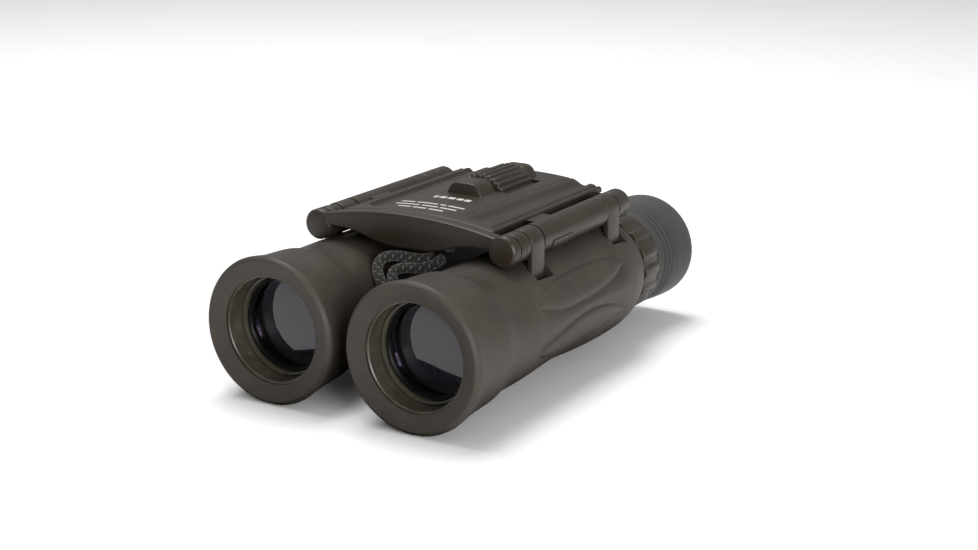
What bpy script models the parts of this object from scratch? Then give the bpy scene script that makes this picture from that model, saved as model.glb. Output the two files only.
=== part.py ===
"""Folding pocket binoculars: two rubber-armoured barrels hinged on a bridge, with a neck cord.

Run with: blender --background --python part.py

+Z is up, +Y runs from the objectives to the eyepieces and +X is the right barrel. The origin is the
middle of the outline at its lowest level, with the barrels folded together. Sizes below are in
millimetres, and MM turns them into Blender's metres where meshes and objects are made. A "station" is
a distance behind the front faces of the objective rims.
"""

import math

import bmesh
import bpy
from mathutils import Matrix, Vector

MM = 0.001

# ---------------------------------------------------------------- driving dimensions (mm)
LENGTH = 113.0  # objective rim to eyecup rim
AXIS_X = 19.08  # barrel axis from the middle, folded
RIM_R = 17.2  # objective rim, outside
RIM_MOUTH_R = 12.5  # flat front face, inner edge
RIM_LIP = 1.6  # rubber lip in front of the barrel tube
BODY_R = 14.7  # armour behind the rim, top and inner side
GRIP_BULGE = 1.6  # how much further out the outer side stands
GRIP_LEAN = 5.0  # degrees that the bulge leans upwards
RIM_END = 17.6  # station where the rim has tapered to the body
ARMOUR_END = 86.5
ARMOUR_NECK_R = 12.2  # armour's last section
HINGE_OUT = 5.92  # hinge axis further out than the barrel axis
HINGE_RISE = 17.9  # hinge axis above the barrel axes
KNUCKLE_R = 3.6
PIN_R = 1.0
TUBE_R = 12.9  # barrel tube, outside
TUBE_WALL = 0.9
TUBE_END = 76.2
TUBE_FLOOR = 1.4  # closed rear end of the tube, round the light path
CELL_WALL = 0.65
RETAINER_FACE = 0.6  # how far the retaining ring covers the lens's edge
EYE_TUBE_R = 10.9
EYE_TUBE_WALL = 1.5
EYE_TUBE_END = 104.2
EYECUP_R = 13.6
PLATE_FRONT = 28.0  # station of the bridge's front face
PLATE_THICK = 3.6
BRIDGE_END = 84.0
ARCH_EDGE = 3.5  # plate top above the hinge axis, at the arch's ends
ARCH_RISE = 1.9
ARCH_INSET = 4.5  # cover's side in from each hinge axis
BELLY_DROP = 2.5  # plate's lowest point below the hinge axis
COVER_THICK = 1.4
DECK_INSET = 4.1  # bridge body's side in from each hinge axis
WHEEL_R = 7.6
WHEEL_WIDTH = 15.0
WHEEL_FRONT = 60.0
SHAFT_RISE = 1.3  # focus shaft above the hinge axes
SHAFT_R = 1.2
HUMP_TOP = 8.1  # wheel fairing above the hinge axes
FOCUS_STATION = 50.0  # middle of the focusing travel
FOCUS_TRAVEL = 1.5  # each way
EYE_TRAVEL = 0.8  # dioptre setting, each way
FOLD_ANGLE = 58.0  # degrees that each barrel swings out
SIDE_TUBE_END = 72.0
SIDE_TUBE_WALL = 0.9
SLIDER_HALF = 2.4  # half the slider's length
WASHER_THICK = 1.7
ARM_THICK = 1.4
ARM_WIDE = 5.7
FINGER_THICK = 1.8
FINGER_WIDE = 3.2
TONGUE_WIDE = 2.0
TONGUE_THICK = 1.2
CORE_R = 1.8  # slider between its two collars
HUB_R = 2.3  # nut of the focus carriage
POCKET_HALF = 15.3  # focusing pocket in the bridge, half width
POCKET_DEEP = 15.0  # its front wall behind the bridge's front face
PIN_HEAD_R = 1.8
PIN_HEAD = 1.1
SCREW_X = 12.0
SCREW_STATION = 38.0
SCREW_R = 1.0
SCREW_HEAD_R = 1.9
LUG_X = 4.0  # bar that the cord is looped on
LUG_STATION = 38.0
LUG_DROP = 1.5  # bar below the hinge axes
LUG_R = 0.8
LUG_HALF = 4.0  # recess round the loop, half width
LOOP_R = 3.3
LOOP_WIDE = 5.0
RING_WIDE = 7.4  # dioptre ring and collar
CORD_D = 2.5
HANK_LENGTH = 50.0
HANK_WIDTH = 15.4
HANK_HEIGHT = 7.6
HANK_MIDDLE = (-34.0, 129.0)  # x and station
TIE_WIDE = 6.0
TIE_THICK = 0.8

# The cord's two ends leave the loop side by side, turn over between the barrels, drop to the table
# and run back under the bridge to the hank. Each point is an x, a station and a height.
CORD_OUT = [
    (2.6, 34.6, 29.6),
    (1.2, 32.2, 29.4),
    (-1.4, 30.4, 29.9),
    (-4.2, 29.0, 30.2),
    (-6.5, 27.4, 29.6),
    (-6.6, 25.5, 27.6),
    (-4.8, 24.2, 25.2),
    (-3.2, 24.0, 22.4),
    (-2.0, 25.0, 19.4),
    (-1.4, 27.5, 16.0),
    (-1.4, 31.0, 12.4),
    (-1.4, 36.0, 8.4),
    (-1.4, 43.0, 4.6),
    (-1.4, 51.0, 2.2),
    (-1.4, 60.0, 1.45),
    (-1.4, 78.0, 1.4),
    (-1.4, 96.0, 1.4),
    (-1.4, 112.0, 1.4),
    (-2.6, 118.4, 1.4),
    (-5.6, 121.8, 1.4),
    (-10.2, 122.9, 1.9),
]
CORD_BACK = [
    (5.4, 34.6, 29.6),
    (4.6, 31.6, 28.6),
    (2.2, 29.4, 28.0),
    (-0.8, 28.2, 28.0),
    (-2.9, 26.6, 27.2),
    (-1.8, 24.9, 25.0),
    (-0.2, 24.2, 22.4),
    (0.9, 25.0, 19.4),
    (1.4, 27.5, 16.0),
    (1.4, 31.0, 12.4),
    (1.4, 36.0, 8.4),
    (1.4, 43.0, 4.6),
    (1.4, 51.0, 2.2),
    (1.4, 60.0, 1.45),
    (1.4, 78.0, 1.4),
    (1.4, 96.0, 1.4),
    (1.4, 112.0, 1.4),
    (0.2, 119.6, 1.4),
    (-3.6, 124.2, 1.4),
    (-8.9, 125.8, 1.9),
]

# ---------------------------------------------------------------- clearances (mm)
GAP = 0.3  # between pieces that rest on each other
RUN = 0.1  # round a turning shaft
SLIDE = 0.15  # round a cell that slides in its tube
SLOT = 0.4  # each side of what passes through a slot

# ---------------------------------------------------------------- worked out from these
AXIS_Z = RIM_R
HINGE_X = AXIS_X + HINGE_OUT
HINGE_Z = AXIS_Z + HINGE_RISE
ARCH_HALF = HINGE_X - ARCH_INSET
DECK_HALF = HINGE_X - DECK_INSET
TUBE_BORE_R = TUBE_R - TUBE_WALL
CELL_R = TUBE_BORE_R - SLIDE
CELL_BORE_R = CELL_R - CELL_WALL
LENS_R = CELL_BORE_R - GAP
CLEAR_APERTURE_R = LENS_R - RETAINER_FACE
HINGE_TO_AXIS = math.hypot(HINGE_X - AXIS_X, HINGE_RISE)
HANG_ANGLE = math.degrees(math.atan2(-HINGE_RISE, AXIS_X - HINGE_X))  # hinge to barrel axis
SHAFT_Z = HINGE_Z + SHAFT_RISE
LUG_Z = HINGE_Z - LUG_DROP
WHEEL_END = WHEEL_FRONT + WHEEL_WIDTH
EYE_BORE_R = EYE_TUBE_R - EYE_TUBE_WALL
SIDES = {"right": 1, "left": -1}

# Stations along each hinge, front to back.
KNUCKLE = (PLATE_FRONT - 0.2, PLATE_FRONT + 5.2)
WASHER = (KNUCKLE[1] + GAP, KNUCKLE[1] + GAP + WASHER_THICK)
FRONT_ARM = (WASHER[1] + GAP, WASHER[1] + GAP + ARM_WIDE)
SIDE_TUBE = (FRONT_ARM[1] + GAP, SIDE_TUBE_END)
REAR_ARM = (SIDE_TUBE[1] + GAP, SIDE_TUBE[1] + GAP + ARM_WIDE)
REAR_KNUCKLE = (REAR_ARM[1] + GAP, BRIDGE_END)
PIN_SPAN = (PLATE_FRONT + 1.3, BRIDGE_END - GAP)
CHAMBER_R = KNUCKLE_R - SIDE_TUBE_WALL  # hollow in the side tube, round the slider
CHAMBER_FRONT = FOCUS_STATION - FOCUS_TRAVEL - SLIDER_HALF - GAP

# Stations along each barrel's eyepiece, and heights inside the bridge.
EYE_FLANGE = (TUBE_END + GAP, TUBE_END + GAP + 2.1)
RING_SPAN = (ARMOUR_END + 0.5, ARMOUR_END + 0.5 + RING_WIDE)
CUP_FRONT = RING_SPAN[1] + 0.4
TONGUE_Z = (HINGE_Z + GAP, HINGE_Z + GAP + TONGUE_THICK)
POCKET = (PLATE_FRONT + POCKET_DEEP, WHEEL_FRONT - 3.8)
FLOOR_Z = HINGE_Z + 0.1
DECK_TOP = COVER_THICK + GAP  # bridge body below the arch

FINISHES = {
    "armour_rubber": ("2B2926", 0.62, 0.0),
    "bridge_plastic": ("33302B", 0.5, 0.0),
    "bore_plastic": ("2A281F", 0.35, 0.0),
    "black_metal": ("1C1C1C", 0.4, 0.8),
    "steel": ("9A9A98", 0.3, 1.0),
    "brass": ("A88A4E", 0.35, 1.0),
    "coated_glass": ("2A2438", 0.05, 0.0),
    "prism_glass": ("C9D3D2", 0.05, 0.0),
    "cup_rubber": ("232323", 0.7, 0.0),
    "cord_braid": ("1D1D1E", 0.85, 0.0),
}


# ---------------------------------------------------------------- scene and helpers
def clear_scene():
    for item in list(bpy.data.objects):
        bpy.data.objects.remove(item, do_unlink=True)


def new_collection(name):
    made = bpy.data.collections.new(name)
    bpy.context.scene.collection.children.link(made)
    return made


def linear(code):
    """A hex colour as linear RGBA."""
    parts = [int(code[i : i + 2], 16) / 255 for i in (0, 2, 4)]
    return [c / 12.92 if c <= 0.04045 else ((c + 0.055) / 1.055) ** 2.4 for c in parts] + [1.0]


def point(x, station, z):
    """Metres from an x, a station and a height in millimetres."""
    return Vector((x, station - LENGTH / 2, z)) * MM


def place(name, data, location=(0, 0, 0), rotation=(0, 0, 0), cutter=False):
    item = bpy.data.objects.new(name, data)
    item.location = location
    item.rotation_euler = rotation
    (CUTTERS if cutter else PARTS).objects.link(item)
    if cutter:
        item.hide_render = True
        item.display_type = "WIRE"
    return item


def finish(item, kind, pivot=None):
    """Give a part its own material, smooth its round faces and hang it on its pivot."""
    colour, roughness, metallic = FINISHES[kind]
    material = bpy.data.materials.new(item.name)
    material.use_nodes = True
    shader = material.node_tree.nodes["Principled BSDF"]
    shader.inputs["Base Color"].default_value = linear(colour)
    shader.inputs["Roughness"].default_value = roughness
    shader.inputs["Metallic"].default_value = metallic
    item.data.materials.append(material)
    if item.type == "MESH":
        item.data.shade_smooth()
        item.data.set_sharp_from_angle(angle=math.radians(35))
    if pivot:
        item.parent = pivot
        item.matrix_parent_inverse = pivot.matrix_world.inverted()
    return item


def empty(name, location):
    pivot = bpy.data.objects.new(name, None)
    pivot.location = location
    PARTS.objects.link(pivot)
    bpy.context.view_layer.update()
    return pivot


LATHE = {"Y": (-math.pi / 2, 0, 0), "X": (0, math.pi / 2, 0), "Z": (0, 0, 0)}


def lathe(name, profile, location, axis="Y", steps=32, cutter=False):
    """A closed profile of (radius, place along the axis) turned through a full circle."""
    area = sum(a[0] * b[1] - b[0] * a[1] for a, b in zip(profile, profile[1:] + profile[:1]))
    loop = list(profile) if area < 0 else list(reversed(profile))
    edges = [(i, (i + 1) % len(loop)) for i in range(len(loop))]
    edges = [(i, j) for i, j in edges if loop[i][0] > 0 or loop[j][0] > 0]
    mesh = bpy.data.meshes.new(name)
    mesh.from_pydata([Vector((radius, 0, along)) * MM for radius, along in loop], edges, [])
    item = place(name, mesh, location, LATHE[axis], cutter)
    screw = item.modifiers.new("turn", "SCREW")
    screw.axis = "Z"
    screw.steps = screw.render_steps = steps
    screw.use_merge_vertices = True
    screw.merge_threshold = 1e-6
    return item


def turned(name, profile, x, z, steps=28, cutter=False):
    """A closed (radius, station) profile turned round an axis along Y."""
    return lathe(name, profile, point(x, 0, z), "Y", steps, cutter)


def cylinder(name, radius, span, x, z, steps=20, cutter=False):
    """A plain rod along Y between two stations."""
    profile = [(0, span[0]), (radius, span[0]), (radius, span[1]), (0, span[1])]
    return turned(name, profile, x, z, steps, cutter)


def ring(name, inner, outer, span, x, z, steps=28, cutter=False):
    """A plain bush along Y between two stations."""
    profile = [(inner, span[0]), (outer, span[0]), (outer, span[1]), (inner, span[1])]
    return turned(name, profile, x, z, steps, cutter)


def box(name, low, high, cutter=False, turn=0.0):
    """A box between two corners given as (x, station, z), turned by degrees about Y."""
    low, high = point(*low), point(*high)
    mesh = bpy.data.meshes.new(name)
    shell = bmesh.new()
    bmesh.ops.create_cube(shell, size=1.0, matrix=Matrix.Diagonal((*(high - low), 1.0)))
    shell.to_mesh(mesh)
    shell.free()
    return place(name, mesh, (low + high) / 2, (0, math.radians(turn), 0), cutter)


def solid(curve):
    """The closed mesh of a curve object, in place of the curve."""
    bpy.context.view_layer.update()
    evaluated = curve.evaluated_get(bpy.context.evaluated_depsgraph_get())
    mesh = bpy.data.meshes.new_from_object(evaluated)
    shell = bmesh.new()
    shell.from_mesh(mesh)
    bmesh.ops.remove_doubles(shell, verts=shell.verts, dist=1e-6)
    bmesh.ops.recalc_face_normals(shell, faces=shell.faces)
    shell.to_mesh(mesh)
    shell.free()
    name, cutter = curve.name, curve.hide_render
    location, rotation = curve.location.copy(), curve.rotation_euler.copy()
    bpy.data.objects.remove(curve, do_unlink=True)
    return place(name, mesh, location, rotation, cutter)


TO_Y = (math.pi / 2, 0, 0)  # outline's x stays x, its y becomes z
TO_X = (math.pi / 2, 0, math.pi / 2)  # outline's x becomes the station, its y becomes z
TO_Z = (0, 0, 0)


def plate(name, outline, middle, thickness, rotation=TO_Y, cutter=False, holes=()):
    """A flat outline in millimetres, thick on both sides of its middle."""
    curve = bpy.data.curves.new(name, "CURVE")
    curve.dimensions = "2D"
    curve.fill_mode = "BOTH"
    curve.extrude = thickness * MM / 2
    for loop in (outline, *holes):
        spline = curve.splines.new("POLY")
        spline.points.add(len(loop) - 1)
        for spot, (across, up) in zip(spline.points, loop):
            spot.co = (across * MM, up * MM, 0, 1)
        spline.use_cyclic_u = True
    return solid(place(name, curve, middle, rotation, cutter))


def extruded(name, outline, span, cutter=False, holes=()):
    """An (x, z) outline run along Y between two stations."""
    middle = point(0, (span[0] + span[1]) / 2, 0)
    return plate(name, outline, middle, span[1] - span[0], TO_Y, cutter, holes)


def combine(target, operation, *others, solver="EXACT"):
    """Boolean modifiers on the target, one for each of the others."""
    for other in others:
        step = target.modifiers.new(other.name, "BOOLEAN")
        step.operation = operation
        step.solver = solver
        step.object = other
    return target


def circle(radius, count, x=0.0, z=0.0):
    turns = [2 * math.pi * i / count for i in range(count)]
    return [(x + radius * math.cos(t), z + radius * math.sin(t)) for t in turns]


def ribbed(radius, depth, ribs):
    """A toothed circle: each rib takes four points."""
    points = []
    for i in range(ribs):
        for share, reach in ((0.0, radius - depth), (0.3, radius), (0.7, radius), (1.0, radius - depth)):
            if share < 1.0:
                turn = 2 * math.pi * (i + share) / ribs
                points.append((reach * math.cos(turn), reach * math.sin(turn)))
    return points


# ---------------------------------------------------------------- barrels
def body_radius(radius, bulge, turn):
    """Armour radius at a turn in degrees from straight outwards, counted upwards."""
    outward = max(0.0, math.cos(math.radians(turn - GRIP_LEAN)))
    return radius + bulge * outward**2


def armour_sections():
    """Station, radius and share of the grip bulge, front to back."""
    lip = RIM_R - BODY_R
    return [
        (0.0, RIM_R - 0.9, 0.0),
        (0.35, RIM_R - 0.3, 0.0),
        (1.1, RIM_R, 0.0),
        (3.0, RIM_R - 0.1 * lip, 0.0),
        (6.0, RIM_R - 0.34 * lip, 0.1),
        (12.0, RIM_R - 0.44 * lip, 0.25),
        (RIM_END - 2.7, RIM_R - 0.52 * lip, 0.4),
        (RIM_END, BODY_R + 0.2 * lip, 0.6),
        (RIM_END + 4.0, BODY_R, 0.85),
        (RIM_END + 12.0, BODY_R, 1.0),
        (ARMOUR_END - 18.0, BODY_R, 1.0),
        (ARMOUR_END - 10.5, BODY_R - 0.2, 0.75),
        (ARMOUR_END - 6.5, BODY_R - 0.5, 0.45),
        (ARMOUR_END - 3.5, BODY_R - 1.0, 0.2),
        (ARMOUR_END - 1.0, ARMOUR_NECK_R + 0.7, 0.0),
        (ARMOUR_END, ARMOUR_NECK_R, 0.0),
    ]


def lofted_armour(name, side, count=36):
    mesh = bpy.data.meshes.new(name)
    shell = bmesh.new()
    rings = []
    for station, radius, share in armour_sections():
        section = []
        for i in range(count):
            turn = 360.0 * i / count
            reach = body_radius(radius, share * GRIP_BULGE, turn)
            x = side * reach * math.cos(math.radians(turn))
            z = reach * math.sin(math.radians(turn))
            section.append(shell.verts.new(Vector((x, station, z)) * MM))
        rings.append(section)
    for front, back in zip(rings, rings[1:]):
        for i in range(count):
            j = (i + 1) % count
            shell.faces.new((front[i], front[j], back[j], back[i]))
    shell.faces.new(rings[0])
    shell.faces.new(rings[-1])
    bmesh.ops.recalc_face_normals(shell, faces=shell.faces)
    shell.to_mesh(mesh)
    shell.free()
    return place(name, mesh, point(side * AXIS_X, 0, AXIS_Z))


def arm_slot(tag, side, span):
    """The slot in the armour that an arm drops through."""
    inner, outer = KNUCKLE_R - ARM_THICK - GAP, KNUCKLE_R + 1.7
    xs = sorted((side * (HINGE_X + inner), side * (HINGE_X + outer)))
    low = (xs[0], span[0] - SLOT, AXIS_Z + TUBE_R / 2)
    high = (xs[1], span[1] + 3 * SLOT, HINGE_Z)
    return box(f"slot_{tag}", low, high, cutter=True)


def finger_slot(tag, side):
    """A straight way from the hinge to the barrel axis for the slider's finger."""
    reach = FINGER_WIDE / 2 + FOCUS_TRAVEL + SLOT
    half = FINGER_THICK / 2 + SLOT
    middle_x, middle_z = side * (HINGE_X + AXIS_X) / 2, (HINGE_Z + AXIS_Z) / 2
    lean = side * (HANG_ANGLE + 90.0)
    low = (middle_x - half, FOCUS_STATION - reach, middle_z - HINGE_TO_AXIS / 2)
    high = (middle_x + half, FOCUS_STATION + reach, middle_z + HINGE_TO_AXIS / 2)
    return box(f"finger_way_{tag}", low, high, cutter=True, turn=-lean)


def make_armour(tag, side, pivot):
    shell = lofted_armour(f"armour_{tag}", side)
    neck_bore = EYE_TUBE_R + SLOT
    bore = [
        (0, -1.0),
        (RIM_MOUTH_R, -1.0),
        (RIM_MOUTH_R, RIM_LIP),
        (TUBE_R + GAP, RIM_LIP),
        (TUBE_R + GAP, EYE_FLANGE[1] + GAP),
        (neck_bore, EYE_FLANGE[1] + GAP),
        (neck_bore, ARMOUR_END + 1.0),
        (0, ARMOUR_END + 1.0),
    ]
    hollow = turned(f"bore_{tag}", bore, side * AXIS_X, AXIS_Z, 28, cutter=True)
    front, rear = arm_slot(f"front_{tag}", side, FRONT_ARM), arm_slot(f"rear_{tag}", side, REAR_ARM)
    combine(shell, "DIFFERENCE", hollow, front, rear, finger_slot(f"armour_{tag}", side))
    finish(shell, "armour_rubber", pivot)


def make_tube(tag, side, pivot):
    x, floor_bore = side * AXIS_X, EYE_BORE_R - 1.0
    profile = [
        (TUBE_BORE_R, RIM_LIP + GAP),
        (TUBE_R, RIM_LIP + GAP),
        (TUBE_R, TUBE_END),
        (floor_bore, TUBE_END),
        (floor_bore, TUBE_END - TUBE_FLOOR),
        (TUBE_BORE_R, TUBE_END - TUBE_FLOOR),
    ]
    tube = turned(f"barrel_tube_{tag}", profile, x, AXIS_Z)
    combine(tube, "DIFFERENCE", finger_slot(f"tube_{tag}", side))
    finish(tube, "bore_plastic", pivot)


def lens(name, radius, front, back, front_sag, back_sag, x, kind, pivot, curve_steps=2):
    """A round lens; a positive sag bulges out, a negative one is hollow."""
    profile = []
    for i in range(curve_steps + 1):
        share = i / curve_steps
        profile.append((radius * share, front - front_sag * (1 - share**2)))
    for i in range(curve_steps, -1, -1):
        share = i / curve_steps
        profile.append((radius * share, back + back_sag * (1 - share**2)))
    return finish(turned(name, profile, x, AXIS_Z, 20), kind, pivot)


def make_objective(tag, side, pivot):
    x = side * AXIS_X
    front, lip = 6.4, 1.2
    glass = (front + 3.1, front + 6.7)
    seat = glass[1] + GAP
    cell = [
        (CELL_BORE_R, front),
        (CELL_R, front),
        (CELL_R, seat + lip),
        (LENS_R - 1.0, seat + lip),
        (LENS_R - 1.0, seat),
        (CELL_BORE_R, seat),
    ]
    finish(turned(f"objective_cell_{tag}", cell, x, AXIS_Z), "bore_plastic", pivot)
    retainer = [
        (CLEAR_APERTURE_R, glass[0] - 0.4),
        (CLEAR_APERTURE_R, front + 1.5),
        (CLEAR_APERTURE_R + 0.3, front + 0.9),
        (LENS_R, front + 0.9),
        (LENS_R, glass[0] - 0.4),
    ]
    finish(turned(f"retaining_ring_{tag}", retainer, x, AXIS_Z), "black_metal", pivot)
    lens(f"objective_lens_{tag}", LENS_R, *glass, 0.9, 0.4, x, "coated_glass", pivot)


def make_focusing_cell(tag, side, pivot):
    """The inner lens that the focus wheel shifts, its ring and the slider that carries them."""
    x = side * AXIS_X
    ring_r, half = CELL_R - SLIDE, 3.0
    front, back = FOCUS_STATION - half, FOCUS_STATION + half
    glass_r = ring_r - 1.3
    profile = [
        (glass_r, front),
        (ring_r, front),
        (ring_r, back),
        (glass_r - 0.9, back),
        (glass_r - 0.9, back - 1.2),
        (glass_r, back - 1.2),
    ]
    finish(turned(f"focus_cell_{tag}", profile, x, AXIS_Z, 24), "black_metal", pivot)
    glass = (front + 1.4, back - 1.2 - GAP)
    lens(f"focus_lens_{tag}", glass_r - GAP, *glass, -0.4, -0.3, x, "prism_glass", pivot)

    hinge = side * HINGE_X
    collar, groove = CHAMBER_R - GAP, TONGUE_WIDE / 2 + RUN
    bobbin = [
        (PIN_R + RUN, FOCUS_STATION - SLIDER_HALF),
        (collar, FOCUS_STATION - SLIDER_HALF),
        (collar, FOCUS_STATION - groove),
        (CORE_R, FOCUS_STATION - groove),
        (CORE_R, FOCUS_STATION + groove),
        (collar, FOCUS_STATION + groove),
        (collar, FOCUS_STATION + SLIDER_HALF),
        (PIN_R + RUN, FOCUS_STATION + SLIDER_HALF),
    ]
    slider = turned(f"focus_slider_{tag}", bobbin, hinge, HINGE_Z, 16)
    start, stop = PIN_R + RUN + 0.35, HINGE_TO_AXIS - ring_r - GAP
    lean = side * (HANG_ANGLE + 90.0)
    middle = (start + stop) / 2
    centre_x = hinge + side * middle * math.cos(math.radians(HANG_ANGLE))
    centre_z = HINGE_Z + middle * math.sin(math.radians(HANG_ANGLE))
    low = (centre_x - FINGER_THICK / 2, FOCUS_STATION - FINGER_WIDE / 2, centre_z - (stop - start) / 2)
    high = (centre_x + FINGER_THICK / 2, FOCUS_STATION + FINGER_WIDE / 2, centre_z + (stop - start) / 2)
    finger = box(f"finger_{tag}", low, high, cutter=True, turn=-lean)
    finish(combine(slider, "UNION", finger), "brass", pivot)


def make_prisms(tag, side, pivot):
    x = side * AXIS_X
    front, back = FOCUS_STATION + 6.5, TUBE_END - TUBE_FLOOR - GAP
    half = (CELL_R - GAP) / math.sqrt(2) - 0.5
    frame = cylinder(f"prism_frame_{tag}", CELL_R - SLIDE, (front, back), x, AXIS_Z, 24)
    low = (x - half, front - 1, AXIS_Z - half)
    high = (x + half, back + 1, AXIS_Z + half)
    combine(frame, "DIFFERENCE", box(f"prism_way_{tag}", low, high, cutter=True))
    finish(frame, "bore_plastic", pivot)
    reach = half - GAP
    first, last = front + 0.5, back - 0.5
    top_cut, low_cut = first + 4.0, first + 9.0  # where the slanted faces meet top and bottom
    wedge = [(first, -reach), (low_cut, -reach), (top_cut, reach), (first, reach)]
    block = [(low_cut + GAP, -reach), (last, -reach), (last, reach), (top_cut + GAP, reach)]
    middle = point(x, 0, AXIS_Z)
    half_prism = plate(f"half_prism_{tag}", wedge, middle, 2 * reach, TO_X)
    finish(half_prism, "prism_glass", pivot)
    roof = plate(f"roof_prism_{tag}", block, middle, 2 * reach, TO_X)
    slope = 0.55 * reach
    for edge, sign in (("a", 1), ("b", -1)):
        corner = [
            (x + sign * (reach + 1), AXIS_Z + reach - slope),
            (x + sign * (reach + 1), AXIS_Z + reach + 1),
            (x, AXIS_Z + reach + 1),
            (x, AXIS_Z + reach),
            (x + sign * reach, AXIS_Z + reach - slope),
        ]
        facet = extruded(f"roof_{edge}_{tag}", corner, (first, last + 1), cutter=True)
        combine(roof, "DIFFERENCE", facet)
    finish(roof, "prism_glass", pivot)


def make_eyepiece(tag, side, pivot):
    x = side * AXIS_X
    tube = [
        (EYE_BORE_R, EYE_FLANGE[0]),
        (TUBE_R - GAP, EYE_FLANGE[0]),
        (TUBE_R - GAP, EYE_FLANGE[1]),
        (EYE_TUBE_R, EYE_FLANGE[1]),
        (EYE_TUBE_R, EYE_TUBE_END),
        (EYE_BORE_R, EYE_TUBE_END),
    ]
    finish(turned(f"eyepiece_tube_{tag}", tube, x, AXIS_Z), "bore_plastic", pivot)
    cell_r, wall, lip = EYE_BORE_R - SLIDE, 0.8, 0.7
    front, back = EYE_FLANGE[1] + 0.9, EYE_TUBE_END - EYE_TRAVEL - 0.9
    cell = [
        (cell_r - wall, front),
        (cell_r, front),
        (cell_r, back),
        (cell_r - wall - lip, back),
        (cell_r - wall - lip, back - lip),
        (cell_r - wall, back - lip),
    ]
    finish(turned(f"eyepiece_cell_{tag}", cell, x, AXIS_Z), "black_metal", pivot)
    glass_r = cell_r - wall - GAP
    field = (front + 1.5, front + 4.5)
    lens(f"field_lens_{tag}", glass_r, *field, 0.5, 0.5, x, "prism_glass", pivot)
    eye = (back - lip - GAP - 4.0, back - lip - GAP)
    lens(f"eye_lens_{tag}", glass_r, *eye, 1.0, 0.0, x, "coated_glass", pivot)
    inside = EYE_TUBE_R + GAP
    shelf = EYE_TUBE_END + GAP
    cup = [
        (inside, CUP_FRONT),
        (EYECUP_R - 1.3, CUP_FRONT),
        (EYECUP_R - 0.7, CUP_FRONT + 2.0),
        (EYECUP_R, LENGTH - 2.0),
        (EYECUP_R - 0.6, LENGTH),
        (EYECUP_R - 2.3, LENGTH),
        (EYECUP_R - 2.8, LENGTH - 1.2),
        (EYECUP_R - 2.8, shelf + 1.0),
        (EYE_BORE_R - 0.5, shelf + 1.0),
        (EYE_BORE_R - 0.5, shelf),
        (inside, shelf),
    ]
    finish(turned(f"eyecup_{tag}", cup, x, AXIS_Z), "cup_rubber", pivot)


def make_eyepiece_rings(pivots):
    """The dioptre ring turns round the right eyepiece; the left one has a plain collar."""
    inside = EYE_TUBE_R + GAP
    outside = EYECUP_R - 0.7
    middle = point(AXIS_X, (RING_SPAN[0] + RING_SPAN[1]) / 2, AXIS_Z)
    dioptre = plate(
        "dioptre_ring",
        ribbed(outside, 0.5, 16),
        middle,
        RING_SPAN[1] - RING_SPAN[0],
        holes=[circle(inside, 24)],
    )
    finish(dioptre, "bridge_plastic", pivots["right"])
    collar = ring("eyepiece_collar_left", inside, outside - 0.3, RING_SPAN, -AXIS_X, AXIS_Z)
    finish(collar, "bridge_plastic", pivots["left"])


def make_arm(name, side, span, pivot):
    """A band round the hinge pin whose outer side drops as a strap into the armour."""
    hinge = side * HINGE_X
    arm = ring(name, PIN_R + RUN, KNUCKLE_R, span, hinge, HINGE_Z, 20)
    xs = sorted((hinge + side * (KNUCKLE_R - ARM_THICK), hinge + side * KNUCKLE_R))
    strap = box(f"strap_{name}", (xs[0], span[0], AXIS_Z), (xs[1], span[1], HINGE_Z), cutter=True)
    past = (span[0] - 1, span[1] + 1)
    clear = cylinder(f"under_{name}", TUBE_R + GAP, past, side * AXIS_X, AXIS_Z, 28, cutter=True)
    combine(arm, "UNION", strap)
    combine(arm, "DIFFERENCE", clear)
    finish(arm, "bridge_plastic", pivot)


def make_barrel(tag, side, pivot):
    make_armour(tag, side, pivot)
    make_tube(tag, side, pivot)
    make_objective(tag, side, pivot)
    make_focusing_cell(tag, side, pivot)
    make_prisms(tag, side, pivot)
    make_eyepiece(tag, side, pivot)
    make_arm(f"front_arm_{tag}", side, FRONT_ARM, pivot)
    make_arm(f"rear_arm_{tag}", side, REAR_ARM, pivot)


# ---------------------------------------------------------------- bridge
def arch(x):
    """Height of the bridge's top surface."""
    radius = (ARCH_HALF**2 + ARCH_RISE**2) / (2 * ARCH_RISE)
    crown = HINGE_Z + ARCH_EDGE + ARCH_RISE
    return crown - radius + math.sqrt(radius**2 - x**2)


def belly(x):
    """Height of the bridge's underside: flat ends that sink to a lower middle."""
    share = min(1.0, max(0.0, (abs(x) - 4.0) / 14.0))
    return HINGE_Z - BELLY_DROP + (BELLY_DROP + 0.1) * share * share * (3 - 2 * share)


def band(half, low, high, count=20):
    """An outline between two height functions of x."""
    xs = [half * (2 * i / count - 1) for i in range(count + 1)]
    return [(x, low(x)) for x in xs] + [(x, high(x)) for x in reversed(xs)]


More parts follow.
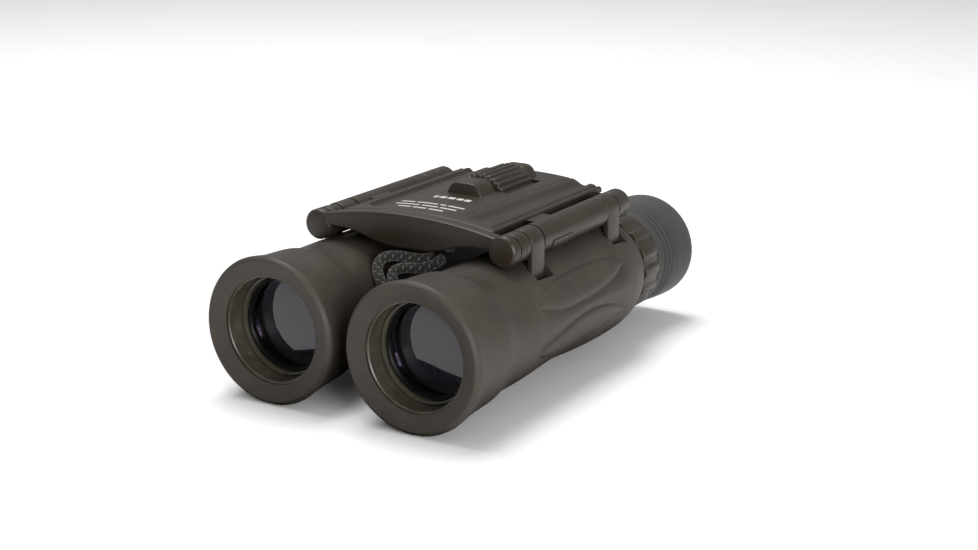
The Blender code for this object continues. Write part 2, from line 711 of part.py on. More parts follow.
def make_frame():
    """Front plate, deck, hinge knuckles and side tubes in one piece."""
    plate_span = (PLATE_FRONT, PLATE_FRONT + PLATE_THICK)
    frame = extruded("bridge_frame", band(HINGE_X - 2.0, belly, arch), plate_span)
    deck_outline = band(DECK_HALF, lambda x: belly(x) + 0.2, lambda x: arch(x) - DECK_TOP)
    added = [extruded("deck", deck_outline, (PLATE_FRONT + 1.0, BRIDGE_END), cutter=True)]
    for tag, side in SIDES.items():
        for part, span in (("front", KNUCKLE), ("side", SIDE_TUBE), ("rear", REAR_KNUCKLE)):
            rod = cylinder(f"{part}_rod_{tag}", KNUCKLE_R, span, side * HINGE_X, HINGE_Z, cutter=True)
            xs = sorted((side * (DECK_HALF - 0.5), side * (HINGE_X - 2.0)))
            low = (xs[0], span[0] + 0.3, HINGE_Z + 0.2)
            high = (xs[1], span[1] - 0.2, HINGE_Z + ARCH_EDGE - DECK_TOP)
            added += [rod, box(f"{part}_web_{tag}", low, high, cutter=True)]
    combine(frame, "UNION", *added, solver="MANIFOLD")
    cuts = mechanism_ways() + lug_ways()
    for tag, side in SIDES.items():
        cuts += hinge_ways(tag, side) + screw_ways("frame", tag, side)
    combine(frame, "DIFFERENCE", *cuts, solver="MANIFOLD")
    finish(frame, "bridge_plastic")


def mechanism_ways():
    """Room in the bridge for the carriage, the shaft and the focus wheel."""
    top = HINGE_Z + ARCH_EDGE + ARCH_RISE + 1.0
    hub = HUB_R + SLOT
    pocket = box("pocket", (-POCKET_HALF, POCKET[0], FLOOR_Z), (POCKET_HALF, POCKET[1], top), cutter=True)
    trough = box("trough", (-hub, POCKET[0], SHAFT_Z - hub), (hub, POCKET[1], top), cutter=True)
    bearings = (POCKET[1] - 1, BRIDGE_END - 1.5)
    shaft_way = cylinder("shaft_way", SHAFT_R + RUN, bearings, 0, SHAFT_Z, cutter=True)
    return [pocket, trough, wheel_way("frame"), shaft_way]


def wheel_way(owner):
    half, reach = WHEEL_R + 0.5, WHEEL_R + 3.0
    low = (-half, WHEEL_FRONT - SLOT, SHAFT_Z - reach)
    high = (half, WHEEL_END + SLOT, SHAFT_Z + reach)
    return box(f"wheel_way_{owner}", low, high, cutter=True)


def lug_ways():
    """The recess under the bridge for the cord's loop, and the slot that its bar lies in."""
    low, back = belly(0) - 1, LUG_STATION + LOOP_R + 0.9
    recess_low = (LUG_X - LUG_HALF, LUG_STATION - LOOP_R - 0.9, low)
    recess = box("cord_recess", recess_low, (LUG_X + LUG_HALF, back, LUG_Z + LOOP_R + SLOT), cutter=True)
    half, side = LUG_R + GAP, LUG_HALF + 2.2
    slot_high = (LUG_X + side, LUG_STATION + half, LUG_Z + half)
    slot = box("lug_way", (LUG_X - side, LUG_STATION - half, low), slot_high, cutter=True)
    return [recess, slot]


def hinge_ways(tag, side):
    """Bores along one hinge, and the ways in for the carriage's tongue and the slider's finger."""
    hinge = side * HINGE_X
    pin = (PIN_SPAN[0] - GAP, BRIDGE_END + 1.0)
    head = (PIN_SPAN[1] - PIN_HEAD - GAP, BRIDGE_END + 1.0)
    chamber = (CHAMBER_FRONT, SIDE_TUBE[1] + 0.1)
    travel = FOCUS_TRAVEL + TONGUE_WIDE / 2 + 0.6
    xs = sorted((side * (POCKET_HALF - 1.0), side * (HINGE_X - CORE_R - GAP)))
    low = (xs[0], FOCUS_STATION - travel, HINGE_Z)
    high = (xs[1], FOCUS_STATION + travel, HINGE_Z + ARCH_EDGE - DECK_TOP + 0.5)
    return [
        cylinder(f"pin_way_{tag}", PIN_R + RUN, pin, hinge, HINGE_Z, cutter=True),
        cylinder(f"head_way_{tag}", PIN_HEAD_R + GAP, head, hinge, HINGE_Z, cutter=True),
        cylinder(f"chamber_{tag}", CHAMBER_R, chamber, hinge, HINGE_Z, cutter=True),
        box(f"tongue_way_{tag}", low, high, cutter=True),
        finger_sweep(tag, side),
    ]


def screw_heights():
    """Bottom of a cover screw's head, its shoulder and its tip."""
    seat = belly(SCREW_X) + 0.5
    return seat, seat + 1.1, arch(SCREW_X) - COVER_THICK + 0.6


def screw_ways(owner, tag, side):
    """The stepped hole for a cover screw, driven from below."""
    seat, shoulder, tip = screw_heights()
    profile = [
        (0, belly(0) - 1),
        (SCREW_HEAD_R + GAP, belly(0) - 1),
        (SCREW_HEAD_R + GAP, shoulder + GAP),
        (SCREW_R + RUN, shoulder + GAP),
        (SCREW_R + RUN, tip + 0.2),
        (0, tip + 0.2),
    ]
    where = point(side * SCREW_X, SCREW_STATION, 0)
    return [lathe(f"screw_way_{owner}_{tag}", profile, where, "Z", 16, cutter=True)]


def finger_sweep(tag, side):
    """The side of the hinge tube that the slider's finger swings through."""
    hinge, reach = side * HINGE_X, KNUCKLE_R * 1.6
    margin = math.degrees(math.asin((FINGER_THICK / 2 + SLOT) / CHAMBER_R))
    first, last = HANG_ANGLE - margin, HANG_ANGLE + FOLD_ANGLE + margin
    turns = [math.radians(first + (last - first) * i / 4) for i in range(5)]
    outline = [(hinge, HINGE_Z)]
    outline += [(hinge + side * reach * math.cos(t), HINGE_Z + reach * math.sin(t)) for t in turns]
    half = FINGER_WIDE / 2 + FOCUS_TRAVEL + SLOT
    span = (FOCUS_STATION - half, FOCUS_STATION + half)
    return extruded(f"finger_sweep_{tag}", outline, span, cutter=True)


def make_cover():
    """The bridge's top cover, with a fairing in front of and behind the focus wheel."""
    low, high = (lambda x: arch(x) - COVER_THICK), arch
    span = (PLATE_FRONT + PLATE_THICK + GAP, BRIDGE_END)
    cover = extruded("top_cover", band(ARCH_HALF, low, high), span)
    top, base = HINGE_Z + HUMP_TOP, arch(0) - COVER_THICK / 2
    for part, span, half in (
        ("front", (WHEEL_FRONT - 7.5, WHEEL_FRONT + 1.0), 5.2),
        ("rear", (WHEEL_END - 1.0, WHEEL_END + 4.5), 5.2),
    ):
        rise = top - base
        outline = [
            (-half, base),
            (half, base),
            (half * 0.7, base + 0.75 * rise),
            (half * 0.45, top),
            (-half * 0.45, top),
            (-half * 0.7, base + 0.75 * rise),
        ]
        combine(cover, "UNION", extruded(f"{part}_hump", outline, span, cutter=True))
    combine(cover, "DIFFERENCE", wheel_way("cover"))
    for tag, side in SIDES.items():
        combine(cover, "DIFFERENCE", *screw_ways("cover", tag, side))
    finish(cover, "bridge_plastic")


def make_focus_drive(pivot):
    """The wheel and its threaded shaft, and the carriage that they move along."""
    middle = point(0, (WHEEL_FRONT + WHEEL_END) / 2, SHAFT_Z)
    bore = [circle(SHAFT_R + RUN, 16)]
    wheel = plate("focus_wheel", ribbed(WHEEL_R, 0.45, 24), middle, WHEEL_WIDTH, holes=bore)
    finish(wheel, "bridge_plastic", pivot)
    ends = (POCKET[0] + 0.8, BRIDGE_END - 2.0)
    finish(cylinder("focus_shaft", SHAFT_R, ends, 0, SHAFT_Z), "steel", pivot)

    block_half = 2.5
    front, back = FOCUS_STATION - block_half, FOCUS_STATION + block_half
    low = (-POCKET_HALF + 1.0, front, TONGUE_Z[0])
    high = (POCKET_HALF - 1.0, back, TONGUE_Z[1] + 0.9)
    carriage = box("focus_carriage", low, high)
    tongue_low = (-HINGE_X, FOCUS_STATION - TONGUE_WIDE / 2, TONGUE_Z[0] + 0.01)
    tongue_high = (HINGE_X, FOCUS_STATION + TONGUE_WIDE / 2, TONGUE_Z[1])
    hub_span = (front - 0.5, back + 0.5)
    combine(
        carriage,
        "UNION",
        box("tongues", tongue_low, tongue_high, cutter=True),
        cylinder("hub", HUB_R, hub_span, 0, SHAFT_Z, cutter=True),
    )
    through = (front - 2, back + 2)
    combine(carriage, "DIFFERENCE", cylinder("nut_way", SHAFT_R + RUN, through, 0, SHAFT_Z, cutter=True))
    for tag, side in SIDES.items():
        tip = cylinder(f"tip_{tag}", CORE_R + GAP, through, side * HINGE_X, HINGE_Z, cutter=True)
        combine(carriage, "DIFFERENCE", tip)
    finish(carriage, "brass")


def make_hinge(tag, side):
    """The fixed pin, its rear bush and the washer in front of the arm."""
    hinge = side * HINGE_X
    pin = [
        (0, PIN_SPAN[0]),
        (PIN_R, PIN_SPAN[0]),
        (PIN_R, PIN_SPAN[1] - PIN_HEAD),
        (PIN_HEAD_R, PIN_SPAN[1] - PIN_HEAD),
        (PIN_HEAD_R, PIN_SPAN[1]),
        (0, PIN_SPAN[1]),
    ]
    finish(turned(f"hinge_pin_{tag}", pin, hinge, HINGE_Z, 16), "steel")
    bush_span = (SIDE_TUBE[1] - 4.5, SIDE_TUBE[1] - 0.2)
    bush = ring(f"hinge_bush_{tag}", PIN_R + RUN, CHAMBER_R - RUN, bush_span, hinge, HINGE_Z, 16)
    finish(bush, "brass")
    washer = ring(f"hinge_washer_{tag}", PIN_R + RUN, KNUCKLE_R - 0.15, WASHER, hinge, HINGE_Z, 20)
    finish(washer, "bridge_plastic")


def make_cover_screw(tag, side):
    seat, shoulder, tip = screw_heights()
    profile = [
        (0, seat),
        (SCREW_HEAD_R, seat),
        (SCREW_HEAD_R, shoulder),
        (SCREW_R, shoulder),
        (SCREW_R, tip),
        (0, tip),
    ]
    where = point(side * SCREW_X, SCREW_STATION, 0)
    finish(lathe(f"cover_screw_{tag}", profile, where, "Z", 16), "steel")


# ---------------------------------------------------------------- cord
def smooth_route(points, spacing):
    """Evenly spaced points on a smooth curve through the route's own points."""
    spots = [point(*p) for p in points]
    spots = [2 * spots[0] - spots[1], *spots, 2 * spots[-1] - spots[-2]]
    fine = []
    for a, b, c, d in zip(spots, spots[1:], spots[2:], spots[3:]):
        for i in range(16):
            t = i / 16
            slope = (2 * a - 5 * b + 4 * c - d) * t + (3 * b - a - 3 * c + d) * t * t
            fine.append(b + 0.5 * t * ((c - a) + slope))
    fine.append(spots[-2])
    lengths = [0.0]
    for a, b in zip(fine, fine[1:]):
        lengths.append(lengths[-1] + (b - a).length)
    count = max(2, round(lengths[-1] / (spacing * MM)))
    route, k = [], 0
    for i in range(count + 1):
        goal = lengths[-1] * i / count
        while k < len(fine) - 2 and lengths[k + 1] < goal:
            k += 1
        share = (goal - lengths[k]) / max(lengths[k + 1] - lengths[k], 1e-12)
        route.append(fine[k].lerp(fine[k + 1], share))
    return route


def make_cord_run(name, points):
    curve = bpy.data.curves.new(name, "CURVE")
    curve.dimensions = "3D"
    curve.bevel_depth = CORD_D * MM / 2
    curve.bevel_resolution = 2
    curve.use_fill_caps = True
    route = smooth_route(points, 2.4 * CORD_D)
    spline = curve.splines.new("POLY")
    spline.points.add(len(route) - 1)
    for spot, where in zip(spline.points, route):
        spot.co = (*where, 1)
    finish(place(name, curve), "cord_braid")


def stadium(length, width, x, station, count=8):
    """A straight outline with round ends, in plan."""
    radius, straight = width / 2, (length - width) / 2
    outline = []
    for sign in (1, -1):
        for i in range(count + 1):
            turn = math.pi * (i / count - 0.5)
            along = x + sign * (straight + radius * math.cos(turn))
            outline.append((along, station + sign * radius * math.sin(turn)))
    return outline


def make_cord():
    """The loop on its bar, the two runs of cord, the hank that holds the rest, and its tie."""
    left, right = LUG_X - LUG_HALF - 2.0, LUG_X + LUG_HALF + 2.0
    bar = [(0, left), (LUG_R, left), (LUG_R, right), (0, right)]
    where = point(0, LUG_STATION, LUG_Z)
    finish(lathe("cord_bar", bar, where, "X", 16), "steel")
    first, last = LUG_X - LOOP_WIDE / 2, LUG_X + LOOP_WIDE / 2
    loop = [(LUG_R + GAP, first), (LOOP_R, first), (LOOP_R, last), (LUG_R + GAP, last)]
    finish(lathe("cord_loop", loop, where, "X", 20), "cord_braid")
    make_cord_run("neck_cord_out", CORD_OUT)
    make_cord_run("neck_cord_back", CORD_BACK)

    low = TIE_THICK + GAP
    outline = stadium(HANK_LENGTH, HANK_WIDTH, *HANK_MIDDLE)
    hank = plate("cord_hank", outline, point(0, 0, low + HANK_HEIGHT / 2), HANK_HEIGHT, TO_Z)
    finish(hank, "cord_braid")
    half, top = HANK_WIDTH / 2 + GAP, low + HANK_HEIGHT + GAP
    x, station = HANK_MIDDLE
    inner = [
        (station - half, TIE_THICK),
        (station + half, TIE_THICK),
        (station + half, top),
        (station - half, top),
    ]
    outer = [
        (station - half - TIE_THICK, 0),
        (station + half + TIE_THICK, 0),
        (station + half + TIE_THICK, top + TIE_THICK),
        (station - half - TIE_THICK, top + TIE_THICK),
    ]
    tie = plate("cord_tie", outer, point(x, 0, 0), TIE_WIDE, TO_X, holes=[inner])
    finish(tie, "cup_rubber")


def main():
    hinges = {
        tag: empty(f"hinge_axis_{tag}", point(side * HINGE_X, PLATE_FRONT, HINGE_Z))
        for tag, side in SIDES.items()
    }
    shaft_axis = empty("focus_axis", point(0, WHEEL_FRONT, SHAFT_Z))
    for tag, side in SIDES.items():
        make_barrel(tag, side, hinges[tag])
        make_hinge(tag, side)
        make_cover_screw(tag, side)
    make_eyepiece_rings(hinges)
    make_frame()
    make_cover()
    make_focus_drive(shaft_axis)
    make_cord()


clear_scene()
PARTS = new_collection("binoculars")
CUTTERS = new_collection("cutters")
main()
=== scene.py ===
"""Looks for the folding pocket binoculars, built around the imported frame.

Every length in the classes is in millimetres, but for the camera's, floor's and lights' places,
which are in metres. A place on the object is an x, a "station" (the distance behind the front faces
of the objective rims) and a height above the table; at() turns the three into metres in the frame.
"""

import logging
import math
from dataclasses import dataclass, field
from enum import Enum
from typing import Any, Callable, Sequence

import bmesh
import bpy
import numpy as np
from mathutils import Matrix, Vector


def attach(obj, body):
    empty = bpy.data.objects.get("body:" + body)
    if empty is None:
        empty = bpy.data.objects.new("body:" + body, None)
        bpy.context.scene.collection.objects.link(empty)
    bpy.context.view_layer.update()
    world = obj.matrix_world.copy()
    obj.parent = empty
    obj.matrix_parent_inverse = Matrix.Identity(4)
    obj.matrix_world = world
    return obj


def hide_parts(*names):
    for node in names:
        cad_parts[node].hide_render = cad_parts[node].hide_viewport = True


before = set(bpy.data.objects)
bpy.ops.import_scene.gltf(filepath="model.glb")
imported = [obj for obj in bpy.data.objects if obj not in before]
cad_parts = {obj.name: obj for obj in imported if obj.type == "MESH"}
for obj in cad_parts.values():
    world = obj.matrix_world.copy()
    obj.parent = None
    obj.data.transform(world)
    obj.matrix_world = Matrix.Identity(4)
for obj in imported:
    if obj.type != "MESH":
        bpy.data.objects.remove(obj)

MM = 0.001
HALF_LENGTH = 56.5
LOG = logging.getLogger("binoculars")

Corner = tuple[float, float]
Node = bpy.types.Node
Tree = bpy.types.NodeTree
Object = bpy.types.Object


# ---------------------------------------------------------------- measuring and colour
def at(x: float, station: float, z: float) -> Vector:
    """The point in metres at an x, a station and a height in millimetres."""
    return Vector((x, station - HALF_LENGTH, z)) * MM


def linear(code: str, alpha: float = 1.0) -> tuple[float, float, float, float]:
    """Turn an sRGB hex colour into linear light.

    Args:
        code: six hex digits.
        alpha: the fourth value.

    Returns:
        Linear red, green and blue, and alpha.
    """
    parts = [int(code[i : i + 2], 16) / 255 for i in (0, 2, 4)]
    red, green, blue = [c / 12.92 if c <= 0.04045 else ((c + 0.055) / 1.055) ** 2.4 for c in parts]
    return red, green, blue, alpha


def per_metre(feature: float) -> float:
    """The texture scale that draws a feature of this many millimetres in object coordinates."""
    return 1.0 / (feature * MM)


class Side(Enum):
    """The two barrels."""

    RIGHT = 1
    LEFT = -1

    @property
    def tag(self) -> str:
        """The ending of this side's piece names."""
        return self.name.lower()

    @property
    def body(self) -> str:
        """The CAD body that this side's barrel is."""
        return f"barrel_{self.tag}"


@dataclass(frozen=True)
class Layout:
    """Where the axes and stations are, in millimetres, as the frame has them."""

    axis_x: float = 19.08
    axis_z: float = 17.2
    hinge_x: float = 25.0
    hinge_z: float = 35.1
    shaft_z: float = 36.4
    knuckle_r: float = 3.6
    plate_front: float = 28.0
    plate_back: float = 31.6
    knuckle: Corner = (27.8, 33.2)
    washer: Corner = (33.5, 35.2)
    front_arm: Corner = (35.5, 41.2)
    side_tube: Corner = (41.5, 72.0)
    rear_arm: Corner = (72.3, 78.0)
    rear_knuckle: Corner = (78.3, 84.0)
    focus: float = 50.0
    finger_way: tuple[float, float, float] = (1.3, 3.5, 9.4)
    pin_bore: float = 1.1
    wheel: Corner = (60.0, 75.0)

    def axis(self, side: Side) -> Corner:
        """The x and height of a barrel's axis."""
        return side.value * self.axis_x, self.axis_z

    def hinge(self, side: Side) -> Corner:
        """The x and height of a hinge."""
        return side.value * self.hinge_x, self.hinge_z

    def across(self, side: Side, inner: float, outer: float) -> Corner:
        """A side's lower and higher x between two distances from the middle."""
        low, high = sorted((side.value * inner, side.value * outer))
        return low, high


LAYOUT = Layout()


# ---------------------------------------------------------------- finishes
def add_node(
    tree: Tree, kind: str, settings: dict | None = None, links: dict | None = None
) -> Node:
    """Add a node with its settings and links.

    Args:
        tree: the node tree that it goes into.
        kind: the node's type.
        settings: property names, or input sockets' names or numbers, with their values.
        links: input sockets' names or numbers, with the sockets that feed them.

    Returns:
        The new node.
    """
    node = tree.nodes.new(kind)
    for key, value in (settings or {}).items():
        if isinstance(key, int) or key in node.inputs:
            node.inputs[key].default_value = value
        else:
            setattr(node, key, value)
    for key, output in (links or {}).items():
        tree.links.new(output, node.inputs[key])
    return node


def ramp(tree: Tree, source: Any, stops: Sequence[tuple[float, Sequence[float]]]) -> Any:
    """Colour a value by stops of (place, colour) and return the colour socket."""
    node = add_node(tree, "ShaderNodeValToRGB", links={0: source})
    steps = node.color_ramp.elements
    while len(steps) < len(stops):
        steps.new(0.5)
    for step, (place, colour) in zip(steps, stops):
        step.position = place
        step.color = colour
    return node.outputs["Color"]


def spread(tree: Tree, source: Any, low: float, high: float, limits: Corner = (0.3, 0.7)) -> Any:
    """Map a noise value onto a range and return the result's socket."""
    settings = {"From Min": limits[0], "From Max": limits[1], "To Min": low, "To Max": high}
    return add_node(tree, "ShaderNodeMapRange", settings, {"Value": source}).outputs["Result"]


@dataclass(frozen=True)
class Finish:
    """What a surface is made of, and the values that its shader starts from."""

    title: str
    colour: str
    roughness: float
    metallic: float = 0.0
    ior: float = 1.5
    specular: float = 0.5

    def material(self) -> bpy.types.Material:
        """Build the material once.

        Returns:
            The material, shared by every piece with this finish.
        """
        made = bpy.data.materials.get(self.title)
        if made is None:
            made = bpy.data.materials.new(self.title)
            made.use_nodes = True
            shader = made.node_tree.nodes["Principled BSDF"]
            shader.inputs["Base Color"].default_value = linear(self.colour)
            shader.inputs["Roughness"].default_value = self.roughness
            shader.inputs["Metallic"].default_value = self.metallic
            shader.inputs["IOR"].default_value = self.ior
            shader.inputs["Specular IOR Level"].default_value = self.specular
            made.diffuse_color = linear(self.colour)
            self.detail(made.node_tree, shader)
        return made

    def detail(self, tree: Tree, shader: Node) -> None:
        """Add the surface's own texture; plain here."""

    def place(self, tree: Tree) -> Any:
        """The object coordinates that patterns are laid out in."""
        return add_node(tree, "ShaderNodeTexCoord").outputs["Object"]


@dataclass(frozen=True)
class Moulded(Finish):
    """A moulded rubber or plastic skin: an eroded mould's grain, uneven gloss, wear and dust."""

    worn: str = "3A3733"
    # A real eroded grain is about 0.05 mm, too fine to show, so it is drawn coarser.
    grain_mm: float = 0.22
    grain_deep_mm: float = 0.02
    mottle_mm: float = 9.0
    rough_share: float = 0.08
    dust: str = "8C877C"
    dust_share: float = 0.25
    dust_mm: float = 1.1
    sheen: float = 0.0

    def detail(self, tree: Tree, shader: Node) -> None:
        """Lay the grain, the mottling and the dust over the base.

        Args:
            tree: the material's node tree.
            shader: its principled shader.
        """
        where = self.place(tree)
        mottle = add_node(
            tree,
            "ShaderNodeTexNoise",
            {"Scale": per_metre(self.mottle_mm), "Detail": 4.0, "Roughness": 0.6},
            {"Vector": where},
        ).outputs["Fac"]
        tone = ramp(tree, mottle, [(0.32, linear(self.colour)), (0.72, linear(self.worn))])
        specks = add_node(
            tree,
            "ShaderNodeTexNoise",
            {"Scale": per_metre(self.dust_mm), "Detail": 8.0, "Roughness": 0.8},
            {"Vector": where},
        ).outputs["Fac"]
        dusty = spread(tree, specks, 0.0, self.dust_share, (0.56, 0.78))
        mixed = add_node(tree, "ShaderNodeMix", {"data_type": "RGBA"}, {0: dusty, 6: tone})
        mixed.inputs[7].default_value = linear(self.dust)
        tree.links.new(mixed.outputs[2], shader.inputs["Base Color"])
        low, high = self.roughness - self.rough_share, self.roughness + self.rough_share
        tree.links.new(spread(tree, mottle, low, high), shader.inputs["Roughness"])
        grain = add_node(
            tree,
            "ShaderNodeTexNoise",
            {"Scale": per_metre(self.grain_mm), "Detail": 3.0, "Roughness": 0.65},
            {"Vector": where},
        ).outputs["Fac"]
        bump = add_node(
            tree,
            "ShaderNodeBump",
            {"Strength": 0.6, "Distance": self.grain_deep_mm * MM},
            {"Height": grain},
        )
        tree.links.new(bump.outputs["Normal"], shader.inputs["Normal"])
        if self.sheen:
            shader.inputs["Sheen Weight"].default_value = self.sheen
            shader.inputs["Sheen Roughness"].default_value = 0.5


@dataclass(frozen=True)
class Turned(Finish):
    """Lathe-turned metal: fine rings round the barrel's direction and slightly uneven gloss."""

    pale: str = "B5B5B2"
    ring_mm: float = 0.35
    ring_deep_mm: float = 0.004

    def detail(self, tree: Tree, shader: Node) -> None:
        """Lay the tool rings and the tarnish over the base.

        Args:
            tree: the material's node tree.
            shader: its principled shader.
        """
        where = self.place(tree)
        rings = add_node(
            tree,
            "ShaderNodeTexWave",
            {
                "bands_direction": "Y",
                "Scale": per_metre(self.ring_mm) / 20,
                "Distortion": 0.4,
                "Detail": 2.0,
            },
            {"Vector": where},
        ).outputs["Fac"]
        cloud = add_node(
            tree, "ShaderNodeTexNoise", {"Scale": per_metre(4.0), "Detail": 5.0}, {"Vector": where}
        ).outputs["Fac"]
        tone = ramp(tree, cloud, [(0.35, linear(self.colour)), (0.7, linear(self.pale))])
        tree.links.new(tone, shader.inputs["Base Color"])
        tree.links.new(
            spread(
                tree, cloud, self.roughness - 0.06, self.roughness + 0.1
            ), shader.inputs["Roughness"]
        )
        bump = add_node(
            tree,
            "ShaderNodeBump",
            {"Strength": 0.5, "Distance": self.ring_deep_mm * MM},
            {"Height": rings},
        )
        tree.links.new(bump.outputs["Normal"], shader.inputs["Normal"])


@dataclass(frozen=True)
class Coated(Finish):
    """Polished optical glass, tinted by its anti-reflection film, with a trace of dust."""

    dust_mm: float = 0.8
    dust_rough: float = 0.12

    def detail(self, tree: Tree, shader: Node) -> None:
        """Make it clear, and lay dust on it.

        Args:
            tree: the material's node tree.
            shader: its principled shader.
        """
        shader.inputs["Transmission Weight"].default_value = 1.0
        specks = add_node(
            tree,
            "ShaderNodeTexNoise",
            {"Scale": per_metre(self.dust_mm), "Detail": 9.0, "Roughness": 0.85},
            {"Vector": self.place(tree)},
        ).outputs["Fac"]
        cleanest, dustiest = self.roughness, self.roughness + self.dust_rough
        tree.links.new(
            spread(tree, specks, cleanest, dustiest, (0.6, 0.85)), shader.inputs["Roughness"]
        )


@dataclass(frozen=True)
class Braided(Finish):
    """A tight braid of polyester yarns over a core, with pale tracer yarns woven in."""

    tracer: str = "776F66"
    # The real yarns are about 0.5 mm wide; they are drawn a little coarser so that they show.
    pitch_mm: float = 1.9
    yarns: int = 7
    deep_mm: float = 0.18

    def detail(self, tree: Tree, shader: Node) -> None:
        """Cross two sets of spiral yarns, and make every other one of a set the pale tracer.

        Args:
            tree: the material's node tree.
            shader: its principled shader.
        """
        along_round = add_node(tree, "ShaderNodeUVMap", {"uv_map": "braid"}).outputs["UV"]
        parts = add_node(tree, "ShaderNodeSeparateXYZ", links={0: along_round}).outputs

        def maths(operation: str, *values: Any) -> Any:
            """One step of sums on sockets or numbers."""
            settings: dict = {"operation": operation}
            links = {}
            for i, value in enumerate(values):
                (settings if isinstance(value, (int, float)) else links)[i] = value
            return add_node(tree, "ShaderNodeMath", settings, links).outputs[0]

        turns = maths("DIVIDE", parts[0], self.pitch_mm)
        lap = maths("MULTIPLY", parts[1], float(self.yarns))
        first = maths("ADD", maths("MULTIPLY", turns, 2.0), lap)
        second = maths("SUBTRACT", maths("MULTIPLY", turns, 2.0), lap)
        ridges = [
            maths("ABSOLUTE", maths("SINE", maths("MULTIPLY", way, math.pi)))
            for way in (first, second)
        ]
        over = maths(
            "GREATER_THAN",
            maths("SINE", maths("MULTIPLY", maths("ADD", first, second), math.pi)),
            0.0,
        )
        height = add_node(
            tree, "ShaderNodeMix", links={0: over, 2: ridges[0], 3: ridges[1]}
        ).outputs[0]
        which = maths("MODULO", maths("FLOOR", maths("ADD", first, 400.0)), 2.0)
        pale = maths("MULTIPLY", maths("MULTIPLY", which, maths("SUBTRACT", 1.0, over)), ridges[0])
        fibre = add_node(
            tree,
            "ShaderNodeTexNoise",
            {"Scale": per_metre(0.3), "Detail": 6.0, "Roughness": 0.7},
            {"Vector": self.place(tree)},
        ).outputs["Fac"]
        amount = maths("MULTIPLY", pale, spread(tree, fibre, 0.15, 1.0))
        tone = add_node(tree, "ShaderNodeMix", {"data_type": "RGBA"}, {0: amount})
        tone.inputs[6].default_value = linear(self.colour)
        tone.inputs[7].default_value = linear(self.tracer)
        tree.links.new(tone.outputs[2], shader.inputs["Base Color"])
        rise = maths("ADD", height, maths("MULTIPLY", fibre, 0.35))
        bump = add_node(
            tree, "ShaderNodeBump", {
                "Strength": 0.9, "Distance": self.deep_mm * MM
            }, {"Height": rise}
        )
        tree.links.new(bump.outputs["Normal"], shader.inputs["Normal"])
        shader.inputs["Sheen Weight"].default_value = 0.3


@dataclass(frozen=True)
class Printed(Finish):
    """Pad-printed ink, thin enough that the grain under it breaks its edges."""

    under: str = "3B3833"
    patch_mm: float = 0.35

    def detail(self, tree: Tree, shader: Node) -> None:
        """Let the plastic show through where the ink missed the grain.

        Args:
            tree: the material's node tree.
            shader: its principled shader.
        """
        gaps = add_node(
            tree,
            "ShaderNodeTexNoise",
            {"Scale": per_metre(self.patch_mm), "Detail": 6.0, "Roughness": 0.7},
            {"Vector": self.place(tree)},
        ).outputs["Fac"]
        tone = ramp(tree, gaps, [(0.3, linear(self.under)), (0.42, linear(self.colour))])
        tree.links.new(tone, shader.inputs["Base Color"])


# Thermoplastic rubber, moulded on the barrels: matt, warm charcoal, a soft gloss on its edges.
ARMOUR_RUBBER = Moulded(
    "Moulded thermoplastic rubber",
    "342E29",
    0.52,
    ior=1.52,
    specular=0.3,
    worn="403932",
    dust_share=0.1,
)
# ABS from an eroded mould: satin, so curved parts show a broad soft highlight.
BRIDGE_ABS = Moulded(
    "Spark-eroded ABS",
    "271F17",
    0.42,
    ior=1.54,
    specular=0.4,
    worn="31281F",
    grain_mm=0.16,
    grain_deep_mm=0.012,
    mottle_mm=14.0,
    dust_share=0.12,
)
# Polished black ABS inside the mouths: glossier, olive where dust lies in it.
BORE_ABS = Moulded(
    "Polished black ABS",
    "35312A",
    0.36,
    ior=1.54,
    worn="4A463A",
    grain_mm=0.5,
    grain_deep_mm=0.004,
    mottle_mm=5.0,
    rough_share=0.1,
    dust="908A74",
    dust_share=0.4,
    dust_mm=2.4,
)
# Silicone-like soft rubber of the eyecups: dead matt, picks up pale dust.
CUP_RUBBER = Moulded(
    "Soft moulded rubber",
    "232221",
    0.72,
    ior=1.45,
    worn="2B2A28",
    grain_mm=0.18,
    grain_deep_mm=0.015,
    dust_share=0.3,
    sheen=0.15,
)
# Black anodised aluminium, turned: dark, with a thin bright line on each edge.
BLACK_ALUMINIUM = Turned("Turned black anodised aluminium", "1B1B1B", 0.36, 0.85, pale="2A2A29")
# Bright turned steel of the pins, shaft and screws, and yellow turned brass of the sliding parts.
STEEL = Turned("Turned steel", "8F8F8D", 0.3, 1.0, pale="ABABA8")
BRASS = Turned("Turned brass", "9C7F45", 0.34, 1.0, pale="B7995A")
# Magnesium fluoride on crown glass: dim and faintly violet where the dark barrel is behind it.
OBJECTIVE_GLASS = Coated("Coated crown glass", "60566C", 0.0, ior=1.62)
# Uncoated polished glass of the prisms and inner lenses: clear and sharp.
CLEAR_GLASS = Coated("Polished optical glass", "F4F8F6", 0.0, ior=1.52)
# Black polyester braid with pale tracer yarns: dark and matt, flecked with light.
CORD_BRAID = Braided("Braided polyester", "16120F", 0.8)
# Pad-printed ink: pale, flat and thin, so the plastic's grain breaks its edges.
PRINT_INK = Printed("Pad-printed ink", "C9C7C0", 0.5)


